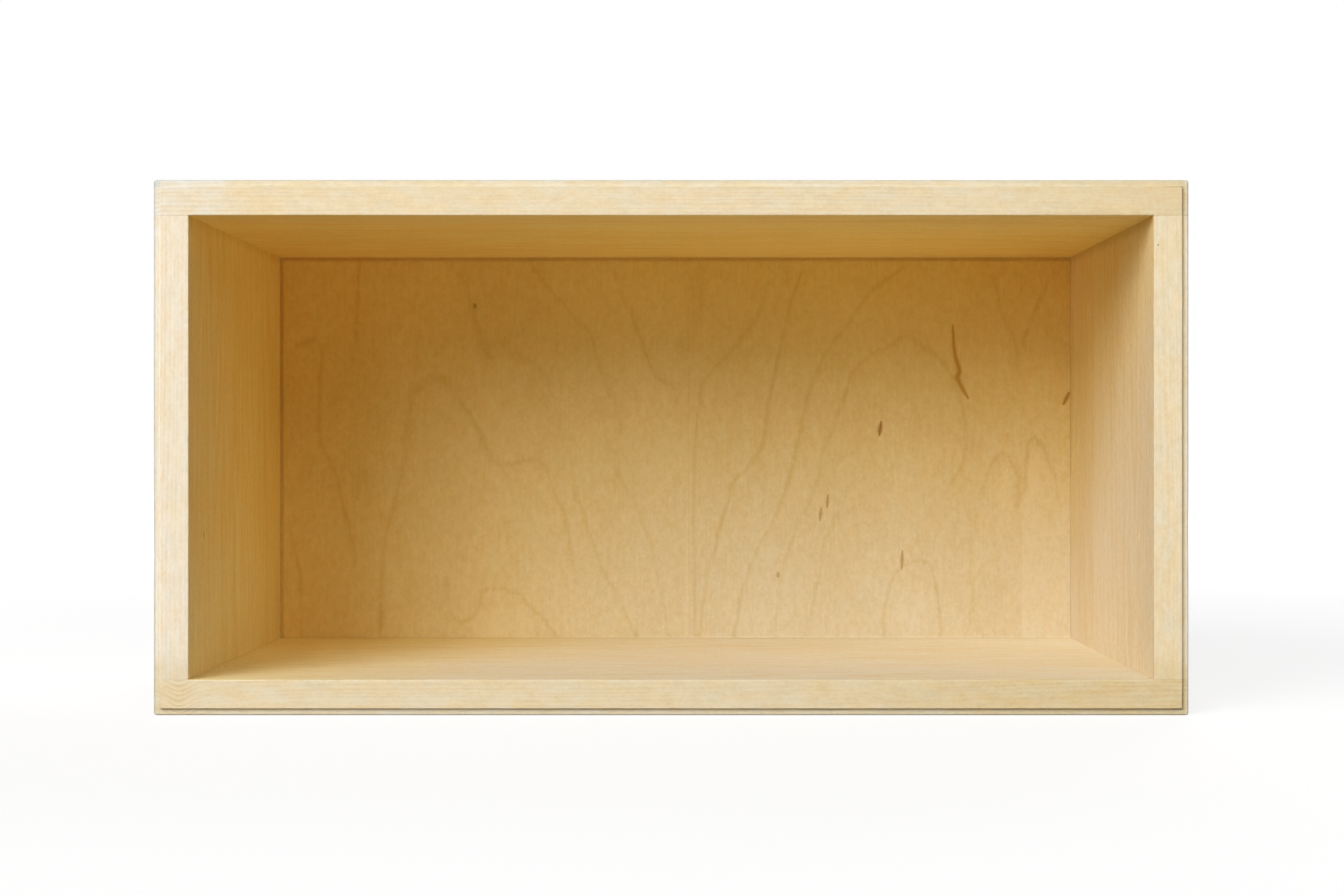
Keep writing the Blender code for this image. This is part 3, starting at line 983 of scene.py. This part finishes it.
class Outline:
    """A flat outline, drawn point by point."""

    def __init__(self, shape: Shape, start: Triple, axis: Axis = Axis.Z) -> None:
        """Puts the pen down at a point of a shape, in a plane across an axis."""
        self.mesh = shape.mesh
        self.axis = axis
        self.first = self.mesh.verts.new(start)
        self.pen = self.first

    def to(self, point: Triple) -> Outline:
        """Draws a straight edge to a point."""
        drawn = bmesh.ops.extrude_vert_indiv(self.mesh, verts=[self.pen])
        self.pen = drawn["verts"][0]
        self.pen.co = point
        return self

    def turn(self, centre: Triple, angle: float, steps: int) -> Outline:
        """Draws an arc round a centre."""
        round_axis = {"cent": centre, "axis": self.axis.way, "angle": angle, "steps": steps}
        drawn = bmesh.ops.spin(self.mesh, geom=[self.pen], use_duplicate=False, **round_axis)
        self.pen = next(g for g in drawn["geom_last"] if isinstance(g, BMVert))
        return self

    def close(self) -> list[BMEdge]:
        """Joins the last point to the first and returns the outline's edges."""
        self.mesh.edges.new((self.pen, self.first))
        bmesh.ops.remove_doubles(self.mesh, verts=self.mesh.verts, dist=NEAR)
        return [edge for edge in self.mesh.edges if edge.is_wire]

    @classmethod
    def rounded(cls, shape: Shape, low: Vector, high: Vector, corner: float, steps: int) -> list[BMEdge]:
        """Draws an upright rectangle with round corners.

        Args:
            shape: The shape that takes the outline.
            low: The rectangle's lower corner, which sets its place along Y.
            high: Its upper corner.
            corner: Radius of its corners.
            steps: Straight edges per corner.

        Returns:
            The outline's edges.
        """
        y = low.y
        pen = cls(shape, (low.x + corner, y, high.z), Axis.Y)
        pen.to((high.x - corner, y, high.z)).turn((high.x - corner, y, high.z - corner), QUARTER_TURN, steps)
        pen.to((high.x, y, low.z + corner)).turn((high.x - corner, y, low.z + corner), QUARTER_TURN, steps)
        pen.to((low.x + corner, y, low.z)).turn((low.x + corner, y, low.z + corner), QUARTER_TURN, steps)
        pen.to((low.x, y, high.z - corner)).turn((low.x + corner, y, high.z - corner), QUARTER_TURN, steps)
        return pen.close()


class SubAssembly:
    """Pieces that are built and dressed together."""

    round_segments: int = 4
    crease: float = math.radians(35)

    def place(self, name: str, shape: Shape, material: Material, slot: Slot, node: str) -> bpy.types.Object:
        """Makes a finished piece that stands for a solid of the frame.

        Args:
            name: The piece's name.
            shape: Its shape, with the radii of its eased edges.
            material: Its finish.
            slot: The record's slot for that finish; not used.
            node: The solid that it stands for.

        Returns:
            The piece.
        """
        shape.close()
        edges = shape.mesh.edges
        widest = max((edge[shape.radius] for edge in edges), default=0.0)
        for edge in edges:
            edge.smooth = edge[shape.radius] > 0 or edge.calc_face_angle(0.0) < self.crease
            if widest:
                edge[shape.radius] /= widest
        for face in shape.mesh.faces:
            face.smooth = True
        mesh = bpy.data.meshes.new(name)
        shape.mesh.to_mesh(mesh)
        shape.mesh.free()
        mesh.materials.append(material)
        piece = stand(name, mesh)
        if widest:
            rounding = piece.modifiers.new("eased_edges", "BEVEL")
            rounding.width = widest
            rounding.segments = self.round_segments
            rounding.limit_method = "WEIGHT"
            rounding.use_clamp_overlap = False
            rounding.harden_normals = True
        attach(piece, BODY)
        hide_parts(node)
        LOG.info("%s stands for %s", name, node)
        return piece


@dataclass
class HangerSizes:
    """Sizes of a keyhole plate, its bed and its screws."""

    fit: float = 0.0003
    corner: float = 0.005
    entry: float = 0.009
    slot: float = 0.0052
    travel: float = 0.012
    screw_offset: float = 0.01825
    pocket_room: float = 0.001
    pocket_depth: float = 0.007
    margin: float = 0.0025
    arc_steps: int = 10


@dataclass
class Carcass(SubAssembly):
    """Two level boards over and under two sides, with a step round the front edge."""

    finish: BirchBoardFinish = field(default_factory=BirchBoardFinish)
    hanger: HangerSizes = field(default_factory=HangerSizes)
    step_width: float = 0.005
    step_depth: float = 0.0025
    step_arris: float = 0.0006
    outer_arris: float = 0.0015
    outer_corner: float = 0.002
    mouth_arris: float = 0.0008
    joint_gap: float = 0.0001
    groove_fit: float = 0.0003
    tongue_fit: float = 0.00002
    tongue_setback: float = 0.0015

    def __post_init__(self) -> None:
        """Reads the overall sizes off the frame's solids."""
        self.low = Vector(map(min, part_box("bottom_board")[0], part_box("top_board")[0]))
        self.high = Vector(map(max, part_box("bottom_board")[1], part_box("top_board")[1]))
        self.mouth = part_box("right_side")[0].x
        self.band_y = self.low.y + self.step_depth
        panel_low, panel_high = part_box("back_panel")
        self.groove_x = panel_high.x + self.groove_fit
        tongue_y = panel_low.y + self.tongue_setback
        self.groove_y = (tongue_y - self.tongue_fit, panel_high.y + self.groove_fit)

    def build(self) -> None:
        """Builds and dresses the four boards."""
        boards = [(f"{level.word}_board", self.level_board(level)) for level in Level]
        boards += [(f"{hand.word}_side", self.side(hand)) for hand in Hand]
        for plank, (node, shape) in zip(PLANKS, boards):
            self.place(plank.name, shape, self.finish.dress(plank), Slot.BOARD, node)

    def level_board(self, level: Level) -> Shape:
        """Shapes the top or bottom board.

        Args:
            level: Which of the two.

        Returns:
            The board, with a raised band along its front and a stopped groove for the back.
        """
        low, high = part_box(f"{level.word}_board")
        inner, outer = (low.z, high.z) if level is Level.TOP else (high.z, low.z)
        band_end = high.x - self.step_width
        band_z = outer - level.value * self.step_width
        shape = Shape()
        shape.block(Vector((low.x, self.band_y, low.z)), high)
        for x in (-band_end, -self.mouth, self.mouth, band_end):
            shape.slice(Axis.X, x)
        shape.slice(Axis.Z, band_z)

        def on_band(middle: Vector) -> bool:
            """Whether a front face belongs to the raised band."""
            return abs(middle.x) < band_end and (band_z - middle.z) * level.value > 0

        shape.push(shape.faces_on(Axis.Y, self.band_y, on_band), Vector((0, -self.step_depth, 0)))
        reach = Vector((0, 0, level.value * (self.groove_x - self.mouth)))
        start, stop = self.groove_y
        shape.recess(Axis.Z, inner, (-self.groove_x, start), (self.groove_x, stop), reach)

        def rim(p: Vector) -> bool:
            """Whether a point lies on the outer rim of the front or rear."""
            return near(p.z, outer) or near(abs(p.x), high.x)

        for y in (self.band_y, high.y):
            shape.ease(self.outer_arris, lambda p: near(p.y, y) and rim(p))
        shape.ease(self.outer_corner, lambda p: near(p.z, outer) and near(abs(p.x), high.x))
        shape.ease(self.step_arris, lambda p: near(p.y, low.y) and near(p.z, band_z))
        shape.ease(self.step_arris, lambda p: near(p.y, low.y) and near(abs(p.x), band_end))
        within = self.mouth + NEAR
        shape.ease(self.mouth_arris, lambda p: near(p.y, low.y) and near(p.z, inner) and abs(p.x) < within)
        return shape

    def side(self, hand: Hand) -> Shape:
        """Shapes the left or right side.

        Args:
            hand: Which of the two.

        Returns:
            The side, with its front band, its groove and the bed of its hanging plate.
        """
        low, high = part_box(f"{hand.word}_side")
        out = hand.value
        inner, outer = (low.x, high.x) if hand is Hand.RIGHT else (high.x, low.x)
        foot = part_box("bottom_board")[1].z + self.joint_gap
        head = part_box("top_board")[0].z - self.joint_gap
        band_x = outer - out * self.step_width
        groove_x = out * self.groove_x
        groove_start, groove_stop = self.groove_y
        shape = Shape()
        section = Outline(shape, (inner, low.y, foot))
        section.to((band_x, low.y, foot)).to((band_x, self.band_y, foot)).to((outer, self.band_y, foot))
        section.to((outer, high.y, foot)).to((inner, high.y, foot)).to((inner, groove_stop, foot))
        section.to((groove_x, groove_stop, foot)).to((groove_x, groove_start, foot))
        section.to((inner, groove_start, foot)).close()
        bmesh.ops.edgeloop_fill(shape.mesh, edges=shape.mesh.edges)
        shape.thicken(shape.mesh.faces, Vector((0, 0, head - foot)))
        self.hanger_bed(shape, hand)
        shape.ease(self.mouth_arris, lambda p: near(p.x, inner) and near(p.y, low.y))
        shape.ease(self.step_arris, lambda p: near(p.x, band_x) and near(p.y, low.y))
        for y in (self.band_y, high.y):
            shape.ease(self.outer_arris, lambda p: near(p.x, outer) and near(p.y, y))
        return shape

    def hanger_bed(self, shape: Shape, hand: Hand) -> None:
        """Sinks the bed of a side's hanging plate and the pocket for a wall screw's head."""
        sizes = self.hanger
        low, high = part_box(f"hanger_{hand.word}")
        rear, floor = self.high.y, low.y - sizes.fit
        face = shape.faces_on(Axis.Y, rear)
        bmesh.ops.inset_region(shape.mesh, faces=face, thickness=sizes.margin)
        brim = list(face[0].edges)
        bmesh.ops.delete(shape.mesh, geom=face, context="FACES_ONLY")
        bed_low = Vector((low.x - sizes.fit, rear, low.z - sizes.fit))
        bed_high = Vector((high.x + sizes.fit, rear, high.z + sizes.fit))
        bed = Outline.rounded(shape, bed_low, bed_high, sizes.corner, sizes.arc_steps)
        foot = shape.sink(brim, bed, Vector((0, floor - rear, 0)))

        middle = (low + high) / 2
        half = sizes.entry / 2 + sizes.pocket_room
        tall = half + sizes.travel / 2
        pocket_low = Vector((middle.x - half, floor, middle.z - tall))
        pocket_high = Vector((middle.x + half, floor, middle.z + tall))
        pocket = Outline.rounded(shape, pocket_low, pocket_high, sizes.corner, sizes.arc_steps)
        foot = shape.sink(foot, pocket, Vector((0, -sizes.pocket_depth, 0)))
        bmesh.ops.edgeloop_fill(shape.mesh, edges=foot)


@dataclass
class BackPanel(SubAssembly):
    """Veneered back: a raised field, a shadow gap at its left and top, and a tongue in the boards."""

    finish: BirchVeneerFinish = field(default_factory=BirchVeneerFinish)
    wide_gap: float = 0.0027
    close_gap: float = 0.0002
    gap_depth: float = 0.0020
    arris: float = 0.0003
    columns: int = 170
    rows: int = 84

    def build(self) -> None:
        """Builds and dresses the panel."""
        panel = self.place("veneered_back", self.panel(), self.finish.dress(), Slot.VENEER, "back_panel")
        self.lay_figure(panel.data)

    def panel(self) -> Shape:
        """Returns the panel's shape, made from a fine grid that carries the figure."""
        low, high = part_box("back_panel")
        tongue_y = low.y + self.gap_depth
        middle = Vector(((low.x + high.x) / 2, tongue_y, (low.z + high.z) / 2))
        across = Matrix.Diagonal((high.x - low.x, high.z - low.z, 1.0, 1.0))
        place = Matrix.Translation(middle) @ Matrix.Rotation(QUARTER_TURN, 4, "X") @ across
        shape = Shape()
        counts = {"x_segments": self.columns, "y_segments": self.rows}
        bmesh.ops.create_grid(shape.mesh, size=0.5, matrix=place, **counts)
        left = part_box("left_side")[1].x + self.wide_gap
        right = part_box("right_side")[0].x - self.close_gap
        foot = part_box("bottom_board")[1].z + self.close_gap
        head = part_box("top_board")[0].z - self.wide_gap
        for x in (left, *(leaf.start for leaf in LEAVES[1:]), right):
            shape.slice(Axis.X, x)
        for z in (foot, head):
            shape.slice(Axis.Z, z)
        shape.thicken(shape.mesh.faces, Vector((0, high.y - tongue_y, 0)))

        def on_field(p: Vector) -> bool:
            """Whether a point lies in the raised field."""
            return left < p.x < right and foot < p.z < head

        shape.push(shape.faces_on(Axis.Y, tongue_y, on_field), Vector((0, -self.gap_depth, 0)))
        shape.ease(self.arris, lambda p: near(p.y, low.y) and near(p.x, left))
        shape.ease(self.arris, lambda p: near(p.y, low.y) and near(p.z, head))
        return shape

    def lay_figure(self, mesh: bpy.types.Mesh) -> None:
        """Stores the growth rings of each leaf on the corners of the mesh's faces."""
        places = np.array([(v.co.x, v.co.z) for v in mesh.vertices]) * MM
        owners = np.array([loop.vertex_index for loop in mesh.loops])
        corners = [face.loop_total for face in mesh.polygons]
        middles = np.repeat([face.center.x for face in mesh.polygons], corners)
        stored = np.zeros((len(RingData), len(owners)))
        for leaf in LEAVES:
            rings = RingField(leaf.lines)
            over = np.stack((rings.depth(places), rings.spacing(places), rings.presence(places)))
            own = (leaf.start < middles) & (middles < leaf.stop)
            stored[:, own] = over[:, owners[own]]
        for kind, numbers in zip(RingData, stored):
            layer = mesh.attributes.new(kind.value, "FLOAT", "CORNER")
            layer.data.foreach_set("value", numbers.astype(np.float32))


@dataclass
class HangingPlates(SubAssembly):
    """Keyhole plates let into the rear edges of the sides, each with two countersunk screws."""

    finish: ZincFinish = field(default_factory=ZincFinish)
    sizes: HangerSizes = field(default_factory=HangerSizes)
    plate_arris: float = 0.00025
    rim_reach: float = 0.00001
    hole_sides: int = 32
    countersink: float = 0.0071
    screw_hole: float = 0.0041
    shank: float = 0.0035
    head: float = 0.0065
    head_depth: float = 0.0018
    tip_length: float = 0.004
    tip_radius: float = 0.0006
    cross_width: float = 0.0009
    cross_reach: float = 0.0021
    cross_depth: float = 0.0014
    cross_taper: float = 0.62

    def build(self) -> None:
        """Builds and dresses the plates and their screws."""
        zinc = self.finish.dress()
        for hand in Hand:
            node = f"hanger_{hand.word}"
            self.place(f"keyhole_plate_{hand.word}", self.plate(node), zinc, Slot.ZINC, node)
            for end in ("upper", "lower"):
                node = f"hanger_screw_{hand.word}_{end}"
                self.place(f"plate_screw_{hand.word}_{end}", self.screw(node), zinc, Slot.ZINC, node)

    def plate(self, node: str) -> Shape:
        """Shapes a plate with its keyhole and countersunk holes.

        Args:
            node: The solid that it stands for.

        Returns:
            The plate.
        """
        low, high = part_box(node)
        face = high.y
        middle = (low + high) / 2
        sizes = self.sizes
        corner = sizes.corner
        shape = Shape()
        Outline.rounded(shape, Vector((low.x, face, low.z)), high, corner, sizes.arc_steps)
        entry = Vector((middle.x, face, middle.z - sizes.travel / 2))
        stop = Vector((middle.x, face, middle.z + sizes.travel / 2))
        half = sizes.slot / 2
        shoulder = math.asin(sizes.slot / sizes.entry)
        lift = sizes.entry / 2 * math.cos(shoulder)
        keyhole = Outline(shape, (middle.x + half, face, entry.z + lift), Axis.Y)
        keyhole.turn(entry, FULL_TURN - 2 * shoulder, 3 * sizes.arc_steps)
        keyhole.to((middle.x - half, face, stop.z)).turn(stop, 2 * QUARTER_TURN, 2 * sizes.arc_steps)
        keyhole.close()

        upright = Matrix.Rotation(QUARTER_TURN, 4, "X")
        sunk = self.countersink / 2
        holes = [middle.z + way * sizes.screw_offset for way in (1, -1)]
        for z in holes:
            place = Matrix.Translation((middle.x, face, z)) @ upright
            bmesh.ops.create_circle(shape.mesh, segments=self.hole_sides, radius=sunk, matrix=place)
        bmesh.ops.triangle_fill(shape.mesh, use_beauty=True, edges=shape.mesh.edges, normal=Axis.Y.way)
        under = shape.thicken(shape.mesh.faces, Vector((0, low.y - high.y, 0)))
        share = self.screw_hole / self.countersink
        for z in holes:
            centre = Vector((middle.x, low.y, z))
            ring = [v for v in under if (v.co - centre).length < sunk + NEAR]
            space = Matrix.Translation(-centre)
            bmesh.ops.scale(shape.mesh, verts=ring, vec=(share, 1.0, share), space=space)

        def on_rim(p: Vector) -> bool:
            """Whether a point lies on the outer face's rim."""
            across = corner - min(p.x - low.x, high.x - p.x)
            up = corner - min(p.z - low.z, high.z - p.z)
            reach = math.hypot(across, up) if across > 0 and up > 0 else max(across, up)
            return near(p.y, face) and abs(reach - corner) < self.rim_reach

        shape.ease(self.plate_arris, on_rim)
        return shape

    def screw(self, node: str) -> Shape:
        """Shapes a countersunk screw with a cross recess.

        Args:
            node: The solid that it stands for.

        Returns:
            The screw.
        """
        low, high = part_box(node)
        x, z = (low.x + high.x) / 2, (low.z + high.z) / 2
        shape = Shape()
        contour = Outline(shape, (x, low.y, z))
        contour.to((x + self.tip_radius, low.y, z))
        contour.to((x + self.shank / 2, low.y + self.tip_length, z))
        contour.to((x + self.shank / 2, high.y - self.head_depth, z))
        contour.to((x + self.head / 2, high.y, z))
        bmesh.ops.spin(
            shape.mesh,
            geom=[*shape.mesh.verts, *shape.mesh.edges],
            cent=(x, 0.0, z),
            axis=Axis.Y.way,
            angle=FULL_TURN,
            steps=self.hole_sides,
            use_merge=True,
        )
        bmesh.ops.remove_doubles(shape.mesh, verts=shape.mesh.verts, dist=NEAR)
        brim = [edge for edge in shape.mesh.edges if edge.is_boundary]

        half, reach = self.cross_width / 2, self.cross_reach
        corners = []
        for dx, dz in ((1, 0), (0, -1), (-1, 0), (0, 1)):
            side = (-dz, dx)
            corners += [
                (dx * reach + side[0] * half, dz * reach + side[1] * half),
                (dx * reach - side[0] * half, dz * reach - side[1] * half),
                ((dx - side[0]) * half, (dz - side[1]) * half),
            ]
        cross = Outline(shape, (x + corners[0][0], high.y, z + corners[0][1]), Axis.Y)
        for dx, dz in corners[1:]:
            cross.to((x + dx, high.y, z + dz))
        floor = shape.sink(brim, cross.close(), Vector((0, -self.cross_depth, 0)))
        verts = {vert for edge in floor for vert in edge.verts}
        taper = (self.cross_taper, 1.0, self.cross_taper)
        bmesh.ops.scale(shape.mesh, verts=list(verts), vec=taper, space=Matrix.Translation((-x, 0, -z)))
        bmesh.ops.edgeloop_fill(shape.mesh, edges=floor)
        return shape


@dataclass
class Dowels:
    """The glued dowels of the corner joints, kept as the frame has them."""

    finish: BeechFinish = field(default_factory=BeechFinish)
    per_joint: int = 3

    def build(self) -> None:
        """Dresses the frame's dowels."""
        beech = self.finish.dress()
        for level in Level:
            for hand in Hand:
                for place in range(1, self.per_joint + 1):
                    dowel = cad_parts[f"dowel_{level.word}_{hand.word}_{place}"]
                    dowel.data.materials.clear()
                    dowel.data.materials.append(beech)
                    LOG.info("%s dressed", dowel.name)


@dataclass(frozen=True)
class Lamp:
    """A soft square studio lamp, aimed at the shelf."""

    name: str
    place: Triple
    size: float
    watts: float


@dataclass
class Studio:
    """Floor, light and camera."""

    floor_reach: float = 40.0
    floor_colour: Colour = (0.24, 0.24, 0.24)
    floor_lift: float = 0.79
    lift_start: float = 0.8
    lift_end: float = 3.0
    world_fill: float = 0.02
    light_paths: int = 14
    aim: Triple = (0.0, 0.0, 0.185)
    picture: tuple[int, int] = (1344, 896)
    axis_pixel: Pair = (695.0, 449.0)
    eye: Triple = (0.0165, -1.439, 0.184)
    lens: float = 50.1
    lamps: tuple[Lamp, ...] = (
        Lamp("key", (-3.55, -5.36, 4.05), 4.7, 405.0),
        Lamp("side", (-5.36, -4.18, 3.36), 6.0, 244.0),
        Lamp("fill", (1.97, -5.40, 5.01), 5.0, 116.0),
        Lamp("rear", (1.6, 3.6, 3.0), 2.5, 90.0),
    )

    def build(self) -> None:
        """Sets up the studio round the shelf."""
        self.lay_floor()
        self.light()
        self.set_camera()

    def lay_floor(self) -> None:
        """Lays a pale floor that shows white in the picture and keeps the shadow."""
        mesh = bpy.data.meshes.new("floor")
        plane = bmesh.new()
        bmesh.ops.create_grid(plane, x_segments=1, y_segments=1, size=self.floor_reach)
        plane.to_mesh(mesh)
        plane.free()
        floor = stand("floor", mesh)
        bench = Bench.material("pale_floor")
        far = bench.smooth(bench.measure("LENGTH", bench.places()), self.lift_start, self.lift_end)
        matt = bench.node("BsdfDiffuse", {"Color": bench.paint(self.floor_colour)})
        glow = bench.node("Emission", {"Color": bench.blend((self.floor_lift,) * 3, WHITE, far)})
        lit = bench.node("AddShader", {0: matt.outputs[0], 1: glow.outputs[0]})
        mesh.materials.append(bench.end(bench.seen(matt, lit)))

    def light(self) -> None:
        """Hangs the lamps and sets the surrounding light."""
        for lamp in self.lamps:
            data = bpy.data.lights.new(lamp.name, "AREA")
            data.shape = "SQUARE"
            data.size = lamp.size
            data.energy = lamp.watts
            item = stand(lamp.name, data)
            item.location = lamp.place
            look = Vector(self.aim) - Vector(lamp.place)
            item.rotation_euler = look.to_track_quat("-Z", "Y").to_euler()
        bench = Bench(bpy.data.worlds.new("studio"))
        fill, white = (
            bench.node("Background", {"Color": bench.paint(WHITE), "Strength": strength})
            for strength in (self.world_fill, 1.0)
        )
        scene = bpy.context.scene
        scene.world = bench.end(bench.seen(fill, white))
        scene.cycles.max_bounces = self.light_paths
        scene.cycles.diffuse_bounces = self.light_paths

    def set_camera(self) -> None:
        """Stands the camera at the photograph's view."""
        data = bpy.data.cameras.new("camera")
        data.lens = self.lens
        width, height = self.picture
        data.shift_x = (width / 2 - self.axis_pixel[0]) / width
        data.shift_y = (self.axis_pixel[1] - height / 2) / width
        camera = stand("camera", data)
        camera.location = self.eye
        camera.rotation_euler = (QUARTER_TURN, 0.0, 0.0)
        bpy.context.scene.camera = camera
        bpy.context.scene.view_settings.view_transform = "Standard"


PLANKS = (
    # Bottom board, with painted light and shade: the floor paler at the right rear and darker at the front
    # right, the front edge darker and darker still to the right, the inner arris dulled.
    Plank(
        "birch_bottom",
        Grain.LEVEL,
        (0.0, 0.0, 1.0),
        seed=0.37,
        heart=-0.075,
        drift=0.012,
        face_light_tint=(0.99, 1.04, 0.93),
        edge_light_tint=(0.90, 0.885, 0.84),
        mouth_tint=(0.97, 0.96, 0.94),
        daylight=Daylight((0.875, 0.965, 1.87), side=(-0.3325, -0.150, 0.65), soft_side=(-0.16, 0.22)),
        face_bands=(
            Band(Axis.X, 0.08, 0.28, (1.12, 1.18, 1.34), (-0.03, 0.12)),
            Band(Axis.X, -0.25, 0.05, (0.955, 0.96, 0.985), (-0.02, -0.11)),
        ),
        bands=(Band(Axis.X, 0.01, 0.32, (0.955, 0.915, 0.80)),),
        dips=(Dip(-0.339, 0.011, 0.009, 0.9),),
    ),
    # Top board, with painted light and shade: the ceiling darker to the right and paler at the front, the
    # front edge paler at its left end and darker to the right, the outer rim dulled.
    Plank(
        "birch_top",
        Grain.LEVEL,
        (0.0, 0.0, -1.0),
        seed=1.62,
        heart=0.460,
        drift=-0.010,
        face_light_tint=(1.035, 1.035, 0.81),
        edge_light_tint=(0.94, 0.93, 0.90),
        brim_tint=(0.78, 0.82, 0.88),
        daylight=Daylight((1.0, 0.98, 1.50)),
        face_bands=(
            Band(Axis.X, 0.10, 0.32, (0.93, 0.92, 0.88), THROUGH),
            Band(Axis.X, 0.22, -0.02, (1.08, 1.08, 1.08), (-0.02, -0.10)),
        ),
        bands=(
            Band(Axis.X, -0.296, -0.318, (1.01, 1.08, 1.28)),
            Band(Axis.X, 0.185, 0.316, (0.97, 0.935, 0.845)),
        ),
    ),
    # Left side, with painted light and shade: the inner face paler lower down and darker just under the top
    # board, the front edge whiter and darker towards its foot.
    Plank(
        "birch_left",
        Grain.UPRIGHT,
        (1.0, 0.0, 0.0),
        seed=2.81,
        heart=-0.445,
        drift=0.008,
        face_light_tint=(1.035, 1.05, 0.82),
        edge_light_tint=(0.99, 1.03, 1.16),
        daylight=Daylight((1.0, 0.98, 1.60)),
        face_bands=(
            Band(Axis.Z, 0.16, 0.03, (1.0, 1.10, 1.40), THROUGH),
            Band(Axis.Z, 0.336, 0.3445, (0.92, 0.89, 0.80), THROUGH),
        ),
        bands=(Band(Axis.Z, 0.050, 0.027, (0.925, 0.90, 0.825)),),
        dark_marks=(Mark((-0.3325, -0.110, 0.123), 0.009, 0.0012),),
    ),
    # Right side, with painted light and shade: the lit inner face darker overall, darker just under the top
    # board, paler towards the rear higher up, the inner arris dulled, the front edge darker towards its foot.
    Plank(
        "birch_right",
        Grain.UPRIGHT,
        (-1.0, 0.0, 0.0),
        seed=3.24,
        heart=0.440,
        drift=-0.014,
        face_light_tint=(0.87, 0.88, 0.86),
        edge_light_tint=(1.01, 1.01, 1.0),
        mouth_tint=(0.76, 0.75, 0.70),
        face_bands=(
            Band(Axis.Z, 0.336, 0.3445, (0.84, 0.78, 0.62), THROUGH),
            Band(Axis.Z, 0.250, 0.300, (1.10, 1.13, 1.34), (0.01, 0.10)),
        ),
        bands=(Band(Axis.Z, 0.050, 0.027, (0.92, 0.91, 0.85)),),
        dark_marks=(Mark((0.3357, -0.150, 0.3247), 0.0024, 0.0018),),
        pale_marks=(Mark((0.3325, -0.108, 0.122), 0.010, 0.0016),),
    ),
)


def main() -> None:
    """Builds and dresses the shelf and its studio."""
    logging.basicConfig(level=logging.INFO, format="%(name)s: %(message)s")
    for assembly in (Studio(), Carcass(), BackPanel(), HangingPlates(), Dowels()):
        assembly.build()
        LOG.info("%s built", type(assembly).__name__)


if __name__ == "__main__":
    main()
